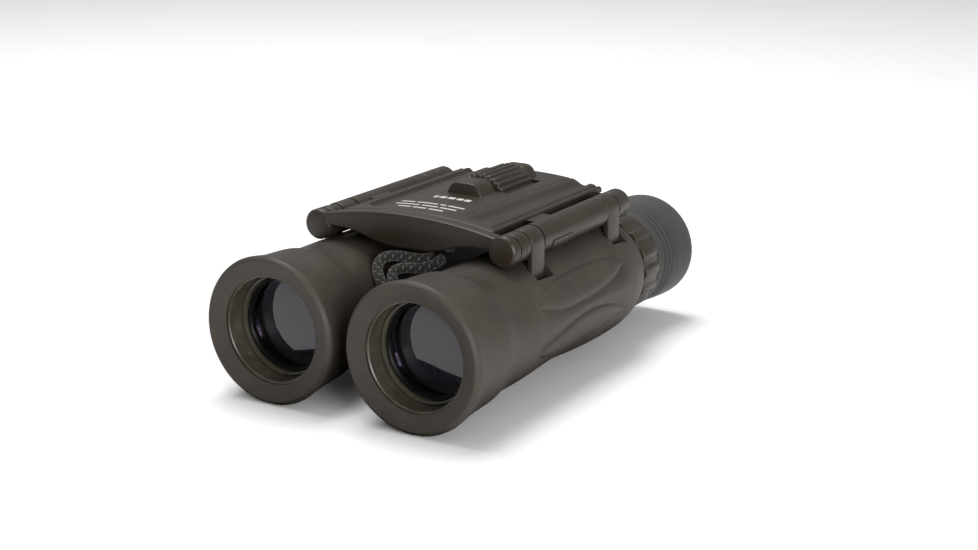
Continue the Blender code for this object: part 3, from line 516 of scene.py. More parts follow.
# ---------------------------------------------------------------- making meshes
def make_mesh(
    name: str, points: np.ndarray, faces: Sequence[Sequence[int]], crease: float = 32.0
) -> Object:
    """Make a closed mesh object from points of (x, station, height).

    Args:
        name: the piece's name.
        points: an array of points in millimetres.
        faces: the points of each face.
        crease: the angle in degrees from which an edge is drawn sharp.

    Returns:
        The new object, linked to the scene.
    """
    placed = (np.asarray(points, float) - (0.0, HALF_LENGTH, 0.0)) * MM
    mesh = bpy.data.meshes.new(name)
    mesh.from_pydata(placed.tolist(), [], [list(f) for f in faces])
    shell = bmesh.new()
    shell.from_mesh(mesh)
    bmesh.ops.remove_doubles(shell, verts=shell.verts, dist=2e-7)
    bmesh.ops.recalc_face_normals(shell, faces=shell.faces)
    shell.to_mesh(mesh)
    shell.free()
    piece = bpy.data.objects.new(name, mesh)
    bpy.context.scene.collection.objects.link(piece)
    smooth(piece, crease)
    return piece


def smooth(piece: Object, crease: float = 32.0) -> None:
    """Shade a piece smooth, with edges over an angle in degrees kept sharp."""
    piece.data.shade_smooth()
    piece.data.set_sharp_from_angle(angle=math.radians(crease))


def dress(
    piece: Object, finish: Finish, body: str, replaces: Sequence[str] = ()
) -> Object:
    """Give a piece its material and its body.

    Args:
        piece: the object.
        finish: what it is made of.
        body: the CAD body that carries it.
        replaces: the CAD nodes that it stands for.

    Returns:
        The same object.
    """
    piece.data.materials.clear()
    piece.data.materials.append(finish.material())
    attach(piece, body)
    if replaces:
        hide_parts(*replaces)
    LOG.info("%s: %d points, on %s", piece.name, len(piece.data.vertices), body)
    return piece


def eased(corners: Sequence[Corner], ease: float, steps: int = 4) -> list[Corner]:
    """Round off every corner of a closed outline.

    Args:
        corners: the outline's corners.
        ease: how far back along each edge the rounding starts.
        steps: how many short edges make each rounding.

    Returns:
        The outline with its corners rounded.
    """
    result = []
    spots = [np.array(c, float) for c in corners]
    for before, corner, after in zip([spots[-1], *spots[:-1]], spots, [*spots[1:], spots[0]]):
        back, on = before - corner, after - corner
        reach = min(ease, np.linalg.norm(back) * 0.45, np.linalg.norm(on) * 0.45)
        start = corner + back / max(np.linalg.norm(back), 1e-9) * reach
        end = corner + on / max(np.linalg.norm(on), 1e-9) * reach
        for i in range(steps + 1):
            t = i / steps
            spot = start * (1 - t) ** 2 + 2 * corner * t * (1 - t) + end * t**2
            result.append((float(spot[0]), float(spot[1])))
    return result


def turned(
    name: str, profile: Sequence[Corner], centre: Corner, steps: int = 96, crease: float = 32.0
) -> Object:
    """Turn a closed profile of (radius, station) about an axis that runs from front to back.

    Args:
        name: the piece's name.
        profile: the profile's points.
        centre: the axis's x and height.
        steps: how many steps make the full turn.
        crease: the angle from which an edge is drawn sharp.

    Returns:
        The new object.
    """
    count = len(profile)
    turns = np.arange(steps) * 2 * math.pi / steps
    points = np.array(
        [
            (centre[0] + max(r, 0.0) * math.cos(t), s, centre[1] + max(r, 0.0) * math.sin(t))
            for t in turns
            for r, s in profile
        ]
    )
    faces = []
    for i in range(steps):
        for j in range(count):
            k = (j + 1) % count
            if profile[j][0] <= 0 and profile[k][0] <= 0:
                continue
            a, b = i * count, ((i + 1) % steps) * count
            face = [a + j, a + k] if profile[k][0] <= 0 else [a + j, a + k, b + k]
            if profile[j][0] > 0:
                face.append(b + j)
            faces.append(face)
    return make_mesh(name, points, faces, crease)


def offset(outline: Sequence[Corner], inset: float) -> list[Corner]:
    """Move an outline inwards by a distance, corner by corner."""
    spots = np.array(outline, float)
    before, after = spots - np.roll(spots, 1, 0), np.roll(spots, -1, 0) - spots
    area = float(
        np.sum(spots[:, 0] * np.roll(spots[:, 1], -1) - np.roll(spots[:, 0], -1) * spots[:, 1])
    )
    hand = 1.0 if area > 0 else -1.0
    moved = []
    for spot, b, a in zip(spots, before, after):
        nb = np.array((-b[1], b[0])) / max(np.linalg.norm(b), 1e-9)
        na = np.array((-a[1], a[0])) / max(np.linalg.norm(a), 1e-9)
        mean = nb + na
        mean = mean / max(np.linalg.norm(mean), 1e-6)
        moved.append(spot + hand * mean * inset / max(float(mean @ nb), 0.5))
    return [(float(p[0]), float(p[1])) for p in moved]


def pushed(
    name: str, outline: Sequence[Corner], span: Corner, ease: float = 0.3, steps: int = 3
) -> Object:
    """Push an outline of (x, height) from one station to another, its end edges rounded.

    Args:
        name: the piece's name.
        outline: the outline's points, in order.
        span: the first and last station.
        ease: the radius of the rounded edges.
        steps: how many short faces make each rounding.

    Returns:
        The new object.
    """
    rings = []
    for i in range(steps + 1):
        turn = math.pi / 2 * i / steps
        rings.append((ease * (1 - math.sin(turn)), span[0] + ease * (1 - math.cos(turn))))
    rings += [(inset, span[0] + span[1] - station) for inset, station in reversed(rings)]
    count = len(outline)
    points = [(x, station, z) for inset, station in rings for x, z in offset(outline, inset)]
    faces: list[list[int]] = [list(range(count)), list(range(len(points) - count, len(points)))]
    for ring in range(len(rings) - 1):
        for i in range(count):
            j = (i + 1) % count
            faces.append(
                [ring * count + i, ring * count + j, (ring + 1) * count + j, (ring + 1) * count + i]
            )
    return make_mesh(name, np.array(points), faces)


def block(low: Sequence[float], high: Sequence[float], lean: float = 0.0) -> Object:
    """A plain block between two corners, turned by degrees about the front-to-back axis."""
    mid = [(a + b) / 2 for a, b in zip(low, high)]
    cos, sin = math.cos(math.radians(lean)), math.sin(math.radians(lean))
    points = []
    for x in (low[0], high[0]):
        for s in (low[1], high[1]):
            for z in (low[2], high[2]):
                dx, dz = x - mid[0], z - mid[2]
                points.append((mid[0] + dx * cos + dz * sin, s, mid[2] - dx * sin + dz * cos))
    faces = [(0, 1, 3, 2), (4, 6, 7, 5), (0, 4, 5, 1), (2, 3, 7, 6), (0, 2, 6, 4), (1, 5, 7, 3)]
    return make_mesh("tool", np.array(points), faces)


def rod(radius: float, span: Corner, centre: Corner, steps: int = 64) -> Object:
    """A plain round rod to cut with."""
    return turned(
        "tool", [(0, span[0]), (radius, span[0]), (radius, span[1]), (0, span[1])], centre, steps
    )


def cut(piece: Object, *tools: Object, join: bool = False) -> Object:
    """Cut tools out of a piece, or join them to it, and remove them.

    Args:
        piece: the object that is changed.
        tools: the objects that cut it.
        join: whether they are joined on instead.

    Returns:
        The same object.
    """
    for tool in tools:
        step = piece.modifiers.new("cut", "BOOLEAN")
        step.operation = "UNION" if join else "DIFFERENCE"
        step.solver = "EXACT"
        step.object = tool
    bpy.context.view_layer.update()
    shaped = bpy.data.meshes.new_from_object(
        piece.evaluated_get(bpy.context.evaluated_depsgraph_get())
    )
    piece.modifiers.clear()
    piece.data = shaped
    for tool in tools:
        bpy.data.objects.remove(tool, do_unlink=True)
    smooth(piece)
    return piece


def finger_way(side: Side) -> Object:
    """The tool for the straight way that the focusing finger has from the hinge to the barrel."""
    rise, run = LAYOUT.hinge_z - LAYOUT.axis_z, LAYOUT.hinge_x - LAYOUT.axis_x
    x = (LAYOUT.hinge_x + LAYOUT.axis_x) / 2 * side.value
    z = (LAYOUT.hinge_z + LAYOUT.axis_z) / 2
    wide, long, high = LAYOUT.finger_way
    low_corner = (x - wide, LAYOUT.focus - long, z - high)
    high_corner = (x + wide, LAYOUT.focus + long, z + high)
    return block(low_corner, high_corner, side.value * math.degrees(math.atan2(run, rise)))


def softened(values: np.ndarray, width: float) -> np.ndarray:
    """Blur evenly spaced values with a bell curve that is this many samples wide."""
    reach = int(3 * width) + 1
    bell = np.exp(-0.5 * (np.arange(-reach, reach + 1) / width) ** 2)
    padded = np.pad(values, reach, mode="edge")
    return np.convolve(padded, bell / bell.sum(), mode="valid")


# ---------------------------------------------------------------- barrels
@dataclass
class Leaf:
    """A leaf-shaped grip lobe; a row is a station, then its lower and upper edge in degrees."""

    rows: Sequence[tuple[float, float, float]]
    groove: float = 0.85
    shoulder: float = 3.2
    scoop: float = 2.4
    blur: float = 5.0

    def relief(self, turn: np.ndarray, station: np.ndarray, radius: np.ndarray) -> np.ndarray:
        """How far the skin stands back from the full radius.

        Args:
            turn: degrees upwards from straight outwards.
            station: the stations of the same points.
            radius: their radius.

        Returns:
            The depth in millimetres, nowhere negative.
        """
        fine = np.arange(self.rows[0][0], self.rows[-1][0] + 0.25, 0.25)
        rows = np.array(self.rows)
        low = softened(np.interp(fine, rows[:, 0], rows[:, 1]), self.blur)
        high = softened(np.interp(fine, rows[:, 0], rows[:, 2]), self.blur)
        middle, half = (low + high) / 2, (high - low) / 2
        tip = np.clip((fine - fine[0]) / 3.0, 0, 1) ** 0.4
        tail = np.clip((fine[-1] - fine) / 4.0, 0, 1) ** 0.4
        half = half * tip * tail
        across = turn - np.interp(station, fine, middle)
        wide = np.interp(station, fine, half, left=0.0, right=0.0)
        edge = (wide - np.abs(across)) * radius * math.pi / 180
        rise = np.clip(edge / self.shoulder, 0, 1)
        inside = self.groove * (1 - np.sqrt(1 - (1 - rise) ** 2))
        outside = self.groove * np.exp(np.minimum(edge, 0) / self.scoop)
        depth = np.where(edge > 0, inside, outside)
        after_tip = np.clip((station - fine[0] + 0.5) / 2.0, 0, 1)
        before_tail = np.clip((fine[-1] + 1.0 - station) / 4.0, 0, 1)
        return depth * after_tip * before_tail


@dataclass
class Armour:
    """A barrel's rubber shell: flared rim, grip lobes and the slots that the arms drop into.

    A profile row is a station, a radius and how much of the side bulge there is.
    """

    side: Side
    length: float = 86.5
    profile: Sequence[tuple[float, float, float]] = (
        (0.0, 17.1, 0.0),
        (1.2, 17.2, 0.0),
        (3.0, 16.93, 0.0),
        (5.0, 16.6, 0.05),
        (7.5, 16.3, 0.15),
        (12.0, 16.08, 0.25),
        (14.9, 15.88, 0.4),
        (15.5, 15.7, 0.43),
        (17.6, 15.15, 0.6),
        (19.0, 14.85, 0.7),
        (21.6, 14.68, 0.85),
        (29.6, 14.68, 1.0),
        (68.5, 14.68, 1.0),
        (76.0, 14.5, 0.75),
        (80.0, 14.15, 0.45),
        (83.0, 13.65, 0.2),
        (85.5, 12.85, 0.0),
        (86.5, 12.15, 0.0),
    )
    bulge: float = 1.58
    lean: float = 5.0
    leaves: Sequence[Leaf] = (
        Leaf(
            (
                (29.4, 22.0, 22.6),
                (33.5, 17.9, 29.3),
                (37.5, 14.0, 34.3),
                (42.0, 11.9, 37.8),
                (47.0, 11.4, 38.9),
                (52.0, 11.8, 38.9),
                (57.0, 12.7, 38.7),
                (61.5, 14.3, 37.9),
                (66.0, 17.6, 35.8),
                (69.5, 21.4, 32.2),
                (72.0, 25.5, 28.0),
            )
        ),
        Leaf(
            (
                (29.3, -19.3, -18.7),
                (32.2, -24.0, -14.7),
                (35.3, -27.5, -11.0),
                (38.6, -30.3, -7.1),
                (42.1, -32.0, -4.0),
                (45.9, -32.8, -1.9),
                (49.7, -32.8, -0.3),
                (53.6, -32.2, 0.1),
                (57.6, -31.0, -1.0),
                (61.8, -28.8, -3.5),
                (66.4, -24.5, -8.3),
                (71.5, -17.5, -15.5),
            )
        ),
    )
    under_dip: float = 0.9
    dip_at: Corner = (44.0, -55.0)
    dip_wide: Corner = (11.0, 17.0)
    slot_reach: Corner = (1.9, 5.3)
    slot_slack: Corner = (0.35, 1.2)
    slot_foot: float = 23.65
    rim_ease: Sequence[Corner] = (
        (0.0, 0.85),
        (0.04, 0.75),
        (0.15, 0.62),
        (0.4, 0.4),
        (0.75, 0.17),
        (1.05, 0.04),
    )
    bore: Sequence[Corner] = (
        (12.05, 86.5),
        (11.5, 86.3),
        (11.35, 86.0),
        (11.35, 78.95),
        (13.2, 78.9),
        (13.2, 1.62),
        (12.53, 1.6),
        (12.5, 1.57),
        (12.5, 1.5),
        (12.54, 1.41),
        (12.66, 1.35),
        (13.4, 1.06),
        (14.9, 0.46),
        (15.95, 0.04),
        (16.12, 0.0),
    )

    def radius(self, turn: np.ndarray, station: np.ndarray) -> np.ndarray:
        """The skin's radius.

        Args:
            turn: degrees upwards from straight outwards, from -180 to 180.
            station: the stations of the same points.

        Returns:
            The radius in millimetres.
        """
        fine = np.arange(0.0, self.length + 0.01, 0.1)
        rows = np.array(self.profile)
        plain = np.interp(fine, rows[:, 0], rows[:, 1])
        soft = softened(plain, 5.0)
        calm = np.clip((fine - 2.0) / 2.0, 0, 1) * np.clip((self.length - 0.8 - fine) / 1.0, 0, 1)
        plain = plain * (1 - calm) + soft * calm
        share = softened(np.interp(fine, rows[:, 0], rows[:, 2]), 8.0)
        outward = np.maximum(0.0, np.cos(np.radians(turn - self.lean))) ** 2
        full = np.interp(
            station, fine, plain
        ) + self.bulge * np.interp(station, fine, share) * outward
        depth = np.zeros_like(full)
        for leaf in self.leaves:
            depth = np.maximum(depth, leaf.relief(turn, station, full))
        along = (station - self.dip_at[0]) / self.dip_wide[0]
        across = (turn - self.dip_at[1]) / self.dip_wide[1]
        dip = np.exp(-(along**2) - across**2)
        return full - depth - self.under_dip * dip

    def skin(self) -> Object:
        """Loft the outside and the bore into one closed shell.

        Returns:
            The shell.
        """
        stations = [0.0, 0.04, 0.15, 0.4, 0.75, 1.05, 1.25, 1.6]
        for first, last, step in ((2.2, 27.0, 0.8), (27.0, 75.0, 0.55), (75.0, 85.6, 0.7)):
            stations += list(np.arange(first, last, step))
        stations += [86.0, 86.35, self.length]
        spans = ((-180, -60, 3.0), (-60, 50, 0.9), (50, 180, 3.0))
        turns = np.concatenate([np.arange(*span) for span in spans])
        count = len(turns)
        x0, z0 = LAYOUT.axis(self.side)
        rim_ease = dict(self.rim_ease)
        rings: list[np.ndarray] = []
        for station in stations:
            full = self.radius(turns, np.full(count, float(station)))
            reach = full - rim_ease.get(station, 0.0)
            rings.append(self.ring(reach, station, turns, x0, z0))
        for reach, station in self.bore:
            rings.append(self.ring(np.full(count, reach), station, turns, x0, z0))
        points = np.concatenate(rings)
        faces = []
        for i in range(len(rings)):
            a, b = i * count, ((i + 1) % len(rings)) * count
            for j in range(count):
                k = (j + 1) % count
                faces.append((a + j, a + k, b + k, b + j))
        return make_mesh(f"armour_skin_{self.side.tag}", points, faces, 40.0)

    def ring(
        self, reach: np.ndarray, station: float, turns: np.ndarray, x0: float, z0: float
    ) -> np.ndarray:
        """One ring of points at a station."""
        angle = np.radians(turns)
        x = x0 + self.side.value * reach * np.cos(angle)
        return np.stack([x, np.full(len(turns), station), z0 + reach * np.sin(angle)], 1)

    def slots(self) -> list[Object]:
        """The tools that cut the two arm slots and the focusing finger's way."""
        inner, outer = self.slot_reach
        before, behind = self.slot_slack
        xs = LAYOUT.across(self.side, LAYOUT.hinge_x + inner, LAYOUT.hinge_x + outer)
        tools = []
        for first, last in (LAYOUT.front_arm, LAYOUT.rear_arm):
            low = (xs[0], first - before, self.slot_foot)
            tools.append(block(low, (xs[1], last + behind, LAYOUT.hinge_z)))
        return [*tools, finger_way(self.side)]

    def build(self) -> None:
        """Make the shell, cut its slots and dress it."""
        shell = cut(self.skin(), *self.slots())
        dress(shell, ARMOUR_RUBBER, self.side.body, [f"armour_{self.side.tag}"])


@dataclass
class ObjectiveEnd:
    """What shows in a barrel's mouth: the tube's bore, the lens cell, its ring and the lens."""

    side: Side
    tube_bore: float = 12.0
    cell_bore: float = 11.2
    ring_bore: float = 10.3
    glass_r: float = 10.9
    cell_front: float = 6.4
    glass: Corner = (9.5, 13.1)

    def build(self) -> None:
        """Make and dress the four pieces."""
        centre, tag, body = LAYOUT.axis(self.side), self.side.tag, self.side.body
        tube = [
            (self.tube_bore, 2.15),
            (self.tube_bore + 0.2, 1.92),
            (12.85, 1.92),
            (12.88, 2.1),
            (12.88, 76.2),
            (8.4, 76.2),
            (8.4, 74.8),
            (self.tube_bore, 74.8),
        ]
        made = cut(turned(f"mouth_tube_{tag}", tube, centre), finger_way(self.side))
        dress(made, BORE_ABS, body, [f"barrel_tube_{tag}"])
        cell = eased(
            [
                (self.cell_bore, self.cell_front),
                (11.85, self.cell_front),
                (11.85, 14.6),
                (9.9, 14.6),
                (9.9, 13.4),
                (self.cell_bore, 13.4),
            ],
            0.12,
            2,
        )
        dress(
            turned(
                f"lens_cell_{tag}", cell, centre
            ), BORE_ABS, body, [f"objective_cell_{tag}"]
        )
        retainer = eased(
            [
                (self.ring_bore, 9.1),
                (self.ring_bore, 8.2),
                (self.ring_bore + 0.25, 7.75),
                (10.62, 7.7),
                (10.7, 7.32),
                (self.glass_r, 7.3),
                (self.glass_r, 9.1),
            ],
            0.08,
            2,
        )
        dress(
            turned(f"lens_retainer_{tag}", retainer, centre, 128),
            BLACK_ALUMINIUM,
            body,
            [f"retaining_ring_{tag}"],
        )
        lens = lens_profile(self.glass_r, self.glass, 0.9, 0.4)
        dress(
            turned(f"objective_glass_{tag}", lens, centre, 96, 50.0),
            OBJECTIVE_GLASS,
            body,
            [f"objective_lens_{tag}"],
        )


def lens_profile(
    radius: float, span: Corner, front: float, back: float, steps: int = 10
) -> list[Corner]:
    """A lens's closed profile; front and back are how far its faces bulge at the axis."""
    shares = [i / steps for i in range(steps + 1)]
    profile = [(radius * s, span[0] - front * (1 - s**2)) for s in shares]
    return profile + [(radius * s, span[1] + back * (1 - s**2)) for s in reversed(shares)]


@dataclass
class EyepieceEnd:
    """What shows behind a barrel: dioptre ring or plain collar, rubber eyecup and eye lens."""

    side: Side
    inside: float = 11.2
    ring: Corner = (87.0, 94.4)
    cup_front: float = 94.8
    length: float = 113.0
    ribs: int = 16
    grip_r: float = 12.62
    rib_high: float = 0.24
    collar_r: float = 12.6
    dot: Corner = (0.55, 0.05)
    dot_top: float = 12.82
    eye_lens: tuple[float, float, float] = (8.15, 97.5, 101.5)

    def build(self) -> None:
        """Make and dress the pieces."""
        self.collar()
        self.cup()
        self.lens()

    def collar(self) -> None:
        """The ribbed dioptre ring on the right, and a plain stepped collar on the left."""
        centre = LAYOUT.axis(self.side)
        if self.side is Side.RIGHT:
            dioptre = pushed("dioptre_grip", self.ribbed_outline(centre), self.ring, 0.35)
            cut(dioptre, rod(self.inside, (self.ring[0] - 1, self.ring[1] + 1), centre))
            dress(dioptre, BRIDGE_ABS, "dioptre_ring", ["dioptre_ring"])
            wide, thick = self.dot
            dot = turned("dioptre_dot", [(0, 0), (wide, 0), (wide, thick), (0, thick)], (0, 0), 24)
            self.lay_dot(dot, centre)
            dress(dot, PRINT_INK, "dioptre_ring")
            return
        outer, (first, last) = self.collar_r, self.ring
        profile = [(self.inside, first), (outer - 0.35, first), (outer, first + 0.5)]
        for start in (89.2, 91.4):
            profile += [
                (outer, start),
                (outer - 0.3, start + 0.25),
                (outer - 0.3, start + 0.65),
                (outer, start + 0.9),
            ]
        profile += [(outer, last - 0.5), (outer - 0.35, last), (self.inside, last)]
        dress(
            turned("plain_collar_left", eased(profile, 0.1, 2), centre),
            BRIDGE_ABS,
            self.side.body,
            ["eyepiece_collar_left"],
        )

    def ribbed_outline(self, centre: Corner) -> list[Corner]:
        """The dioptre ring's outline, with rounded ribs all round."""
        outline = []
        for i in range(self.ribs * 12):
            turn = 2 * math.pi * i / (self.ribs * 12)
            wave = math.cos(turn * self.ribs)
            reach = self.grip_r + self.rib_high * max(-1.0, min(1.0, 2.2 * wave))
            outline.append((centre[0] + reach * math.cos(turn), centre[1] + reach * math.sin(turn)))
        return outline

    def lay_dot(self, dot: Object, centre: Corner) -> None:
        """Lay a flat printed dot on the ring's top, a hair proud of the plastic."""
        middle = (self.ring[0] + self.ring[1]) / 2
        top = centre[1] + self.dot_top
        for vertex in dot.data.vertices:
            x, lift, z = vertex.co.x / MM, vertex.co.y / MM + HALF_LENGTH, vertex.co.z / MM
            vertex.co = at(centre[0] + x, middle + z, top + lift)

    def cup(self) -> None:
        """The rubber eyecup, with shallow grooves in its waist."""
        outer = [(12.25, self.cup_front), (12.4, 95.6), (12.45, 96.6)]
        for start, reach in ((97.4, 12.6), (99.2, 12.75), (101.0, 12.9)):
            outer += [
                (reach, start),
                (reach - 0.28, start + 0.35),
                (reach - 0.28, start + 0.75),
                (reach, start + 1.1),
            ]
        outer += [
            (13.25, 105.0),
            (13.5, 109.0),
            (13.55, 111.0),
            (13.4, 112.3),
            (12.95, self.length),
            (11.4, self.length),
        ]
        inner = [
            (10.9, 112.4),
            (10.8, 111.4),
            (10.8, 105.6),
            (8.95, 105.55),
            (8.9, 104.5),
            (self.inside, 104.5),
            (self.inside, self.cup_front),
        ]
        dress(
            turned(
                f"eyecup_skin_{self.side.tag}",
                eased(outer + inner, 0.25, 3),
                LAYOUT.axis(self.side),
                112,
            ),
            CUP_RUBBER,
            self.side.body,
            [f"eyecup_{self.side.tag}"],
        )

    def lens(self) -> None:
        """The eye lens, which goes with the cell that the dioptre ring moves on the right."""
        body = "eyepiece_right" if self.side is Side.RIGHT else self.side.body
        radius, first, last = self.eye_lens
        profile = lens_profile(radius, (first, last), 1.0, 0.0)
        dress(
            turned(f"eye_glass_{self.side.tag}", profile, LAYOUT.axis(self.side), 72, 50.0),
            OBJECTIVE_GLASS,
            body,
            [f"eye_lens_{self.side.tag}"],
        )


@dataclass
class Arms:
    """A barrel's two arms: bands round the hinge that drop as straps into the armour."""

    side: Side
    strap: float = 1.4
    strap_foot: float = 20.0
    barrel_clear: float = 13.2
    shield_skin: Corner = (0.04, 0.22)
    shield_span: Corner = (45.4, 54.6)
    shield_start: float = 14.0
    shield_sweep: float = 86.0

    def outline(self) -> list[Corner]:
        """The band and its strap, seen from the front."""
        x0, z0 = LAYOUT.hinge(self.side)
        r, sign = LAYOUT.knuckle_r, self.side.value
        inner = r - self.strap
        start = -math.acos(inner / r)
        turns = [start - (2 * math.pi + start) * i / 56 for i in range(57)]
        around = [(x0 + sign * r * math.cos(t), z0 + r * math.sin(t)) for t in turns]
        foot = [(x0 + sign * r, self.strap_foot), (x0 + sign * inner, self.strap_foot)]
        return around + foot

    def shield(self) -> None:
        """A thin sleeve that goes round with the barrel and hides the focusing finger's way."""
        x0, z0 = LAYOUT.hinge(self.side)
        hang = math.atan2(LAYOUT.axis_z - LAYOUT.hinge_z, LAYOUT.axis_x - LAYOUT.hinge_x)
        steps = [self.shield_start + self.shield_sweep * i / 28 for i in range(29)]
        turns = [hang + math.radians(step) for step in steps]
        rims = []
        for lift in self.shield_skin:
            reach, sign = LAYOUT.knuckle_r + lift, self.side.value
            rims.append(
                [(x0 + sign * reach * math.cos(t), z0 + reach * math.sin(t)) for t in turns]
            )
        outline = rims[0] + rims[1][::-1]
        made = pushed(f"finger_shield_{self.side.tag}", outline, self.shield_span, 0.06, 2)
        dress(made, BRIDGE_ABS, self.side.body)

    def build(self) -> None:
        """Make and dress both arms."""
        self.shield()
        for part, span in (("front", LAYOUT.front_arm), ("rear", LAYOUT.rear_arm)):
            name = f"{part}_arm_{self.side.tag}"
            arm = pushed(f"{part}_band_{self.side.tag}", self.outline(), span, 0.28)
            past = (span[0] - 1, span[1] + 1)
            cut(
                arm,
                rod(LAYOUT.pin_bore, past, LAYOUT.hinge(self.side), 32),
                rod(self.barrel_clear, past, LAYOUT.axis(self.side)),
            )
            dress(arm, BRIDGE_ABS, self.side.body, [name])


# ---------------------------------------------------------------- bridge
@dataclass
class Bridge:
    """The bridge: bow-tie front plate, deck, hinge knuckles, side tubes, washers and top cover."""

    arch_half: float = 20.5
    arch_rise: float = 1.9
    arch_edge: float = 3.5
    belly_drop: float = 2.5
    cover_thick: float = 1.4
    deck_half: float = 20.9
    plate_half: float = 23.0
    end: float = 84.0
    scoop_deep: float = 0.95
    cover_sink: float = 0.03
    panel_half: float = 10.6
    scoop_outer: float = 17.6
    rail_x: float = 19.2
    hump_top: float = 43.2
    hump_spans: Sequence[tuple[str, Corner]] = (("front", (52.5, 59.6)), ("rear", (75.4, 79.5)))
    wheel_room: tuple[Corner, Corner] = ((-8.1, 59.6), (8.1, 75.4))
    tube_hollow: float = 2.7
    tube_room: float = 46.0
    washer_r: float = 3.45
    tongue: Corner = (46.9, 53.1)
    tongue_high: float = 2.3
    swing: Corner = (46.4, 53.6)
    swing_reach: float = 6.0
    web: Corner = (20.4, 22.2)
    web_spans: Sequence[tuple[str, Corner]] = (
        ("front", (31.0, 33.0)),
        ("side", (41.8, 46.5)),
        ("mid", (53.5, 71.8)),
        ("rear", (78.6, 83.8)),
    )
    lid: Corner = (20.4, 23.0)
    lid_span: Corner = (46.2, 53.8)
    lid_lift: Corner = (2.45, 3.0)
    ink_lift: Corner = (0.02, 0.045)
    mark_rows: Sequence[tuple[str, float, float, Sequence[Corner]]] = (
        ("bold_mark", 47.4, 1.7, ((-4.9, -3.9), (-3.3, -1.6), (-1.0, 0.9), (1.5, 3.0), (3.5, 5.1))),
        ("fine_mark_a", 40.6, 0.75, ((-9.6, -5.9), (-5.2, 0.4), (1.1, 2.7), (3.3, 7.6))),
        ("fine_mark_b", 38.2, 0.75, ((-9.6, -3.2), (-2.4, 1.9), (2.5, 6.9))),
        ("fine_mark_c", 35.8, 0.75, ((-7.4, -4.1), (-3.4, 0.2), (0.9, 4.8))),
    )
    screw_x: float = 12.0
    screw_station: float = 38.0
    lug_ways: Sequence[tuple[Sequence[float], Sequence[float]]] = (
        ((0.0, 33.8, 31.6), (8.0, 42.2, 37.3)),
        ((-2.2, 36.9, 31.6), (10.2, 39.1, 34.7)),
    )
    carriage_ways: Sequence[tuple[Sequence[float], Sequence[float]]] = (
        ((-15.3, 43.0, 35.2), (15.3, 56.2, 42.0)),
        ((-2.7, 43.0, 33.7), (2.7, 56.2, 42.0)),
    )

    def arch(self, x: float) -> float:
        """Height of the top surface."""
        radius = (self.arch_half**2 + self.arch_rise**2) / (2 * self.arch_rise)
        crown = LAYOUT.hinge_z + self.arch_edge + self.arch_rise
        return crown - radius + math.sqrt(radius**2 - x**2)

    def belly(self, x: float) -> float:
        """Height of the underside: flat ends that sink to a lower middle."""
        share = min(1.0, max(0.0, (abs(x) - 4.0) / 14.0))
        rise = (self.belly_drop + 0.1) * share**2 * (3 - 2 * share)
        return LAYOUT.hinge_z - self.belly_drop + rise

    def band(self, half: float, low: Callable, high: Callable, count: int = 64) -> list[Corner]:
        """An outline between two height functions of x."""
        xs = [half * (2 * i / count - 1) for i in range(count + 1)]
        return [(x, low(x)) for x in xs] + [(x, high(x)) for x in reversed(xs)]

    def build(self) -> None:
        """Make and dress all the bridge's pieces."""
        self.front_plate()
        self.deck()
        for side in Side:
            self.hinge_line(side)
        self.cover()
        self.humps()
        self.marks()

    def front_plate(self) -> None:
        """The plate that faces forward."""
        outline = self.band(self.plate_half, self.belly, self.arch)
        made = pushed("bridge_face", outline, (LAYOUT.plate_front, LAYOUT.plate_back), 0.5, 4)
        dress(made, BRIDGE_ABS, "bridge")

    def deck(self) -> None:
        """The casting behind the plate, with the room for the mechanism cut into it."""
        outline = self.band(
            self.deck_half,
            lambda x: self.belly(x) + 0.2,
            lambda x: self.arch(x) - 1.7,
        )
        span = (LAYOUT.plate_front + 1.0, self.end)
        casting = pushed("bridge_casting", outline, span, 0.3)
        tools = [block(low, high) for low, high in self.carriage_ways]
        tools.append(self.wheel_hole(25.8))
        tools.append(rod(1.3, (55.2, 82.5), (0, LAYOUT.shaft_z), 32))
        tools += [block(low, high) for low, high in self.lug_ways]
        for side in Side:
            x0, z0 = LAYOUT.hinge(side)
            xs = LAYOUT.across(side, 14.3, 22.9)
            first, last = self.tongue
            tools.append(block((xs[0], first, z0), (xs[1], last, z0 + self.tongue_high)))
            tools.append(rod(3.75, (LAYOUT.knuckle[1], LAYOUT.side_tube[0]), (x0, z0), 48))
            tools.append(rod(3.75, (LAYOUT.side_tube[1], LAYOUT.rear_knuckle[0]), (x0, z0), 48))
            tools.append(self.screw_hole(side.value * self.screw_x))
        dress(cut(casting, *tools), BRIDGE_ABS, "bridge", ["bridge_frame"])

    def wheel_hole(self, foot: float) -> Object:
        """The tool for the focus wheel's window, from a height upwards."""
        (left, first), (right, last) = self.wheel_room
        return block((left, first, foot), (right, last, 47.0))

    def screw_hole(self, x: float) -> Object:
        """The stepped hole for a cover screw."""
        seat = self.belly(x) + 0.5
        foot, ledge, top = 30.0, seat + 1.4, 39.6
        steps = [(0, foot), (2.2, foot), (2.2, ledge), (1.1, ledge), (1.1, top), (0, top)]
        tool = turned("tool", steps, (0, 0), 24)
        for vertex in tool.data.vertices:
            across, over = vertex.co.x / MM, vertex.co.z / MM
            up = vertex.co.y / MM + HALF_LENGTH
            vertex.co = at(x + across, self.screw_station + over, up)
        return tool

    def hinge_line(self, side: Side) -> None:
        """A side's knuckles, side tube, webs and washer."""
        self.knuckles(side)
        self.washer(side)
        self.side_tube(side)
        self.webs(side)

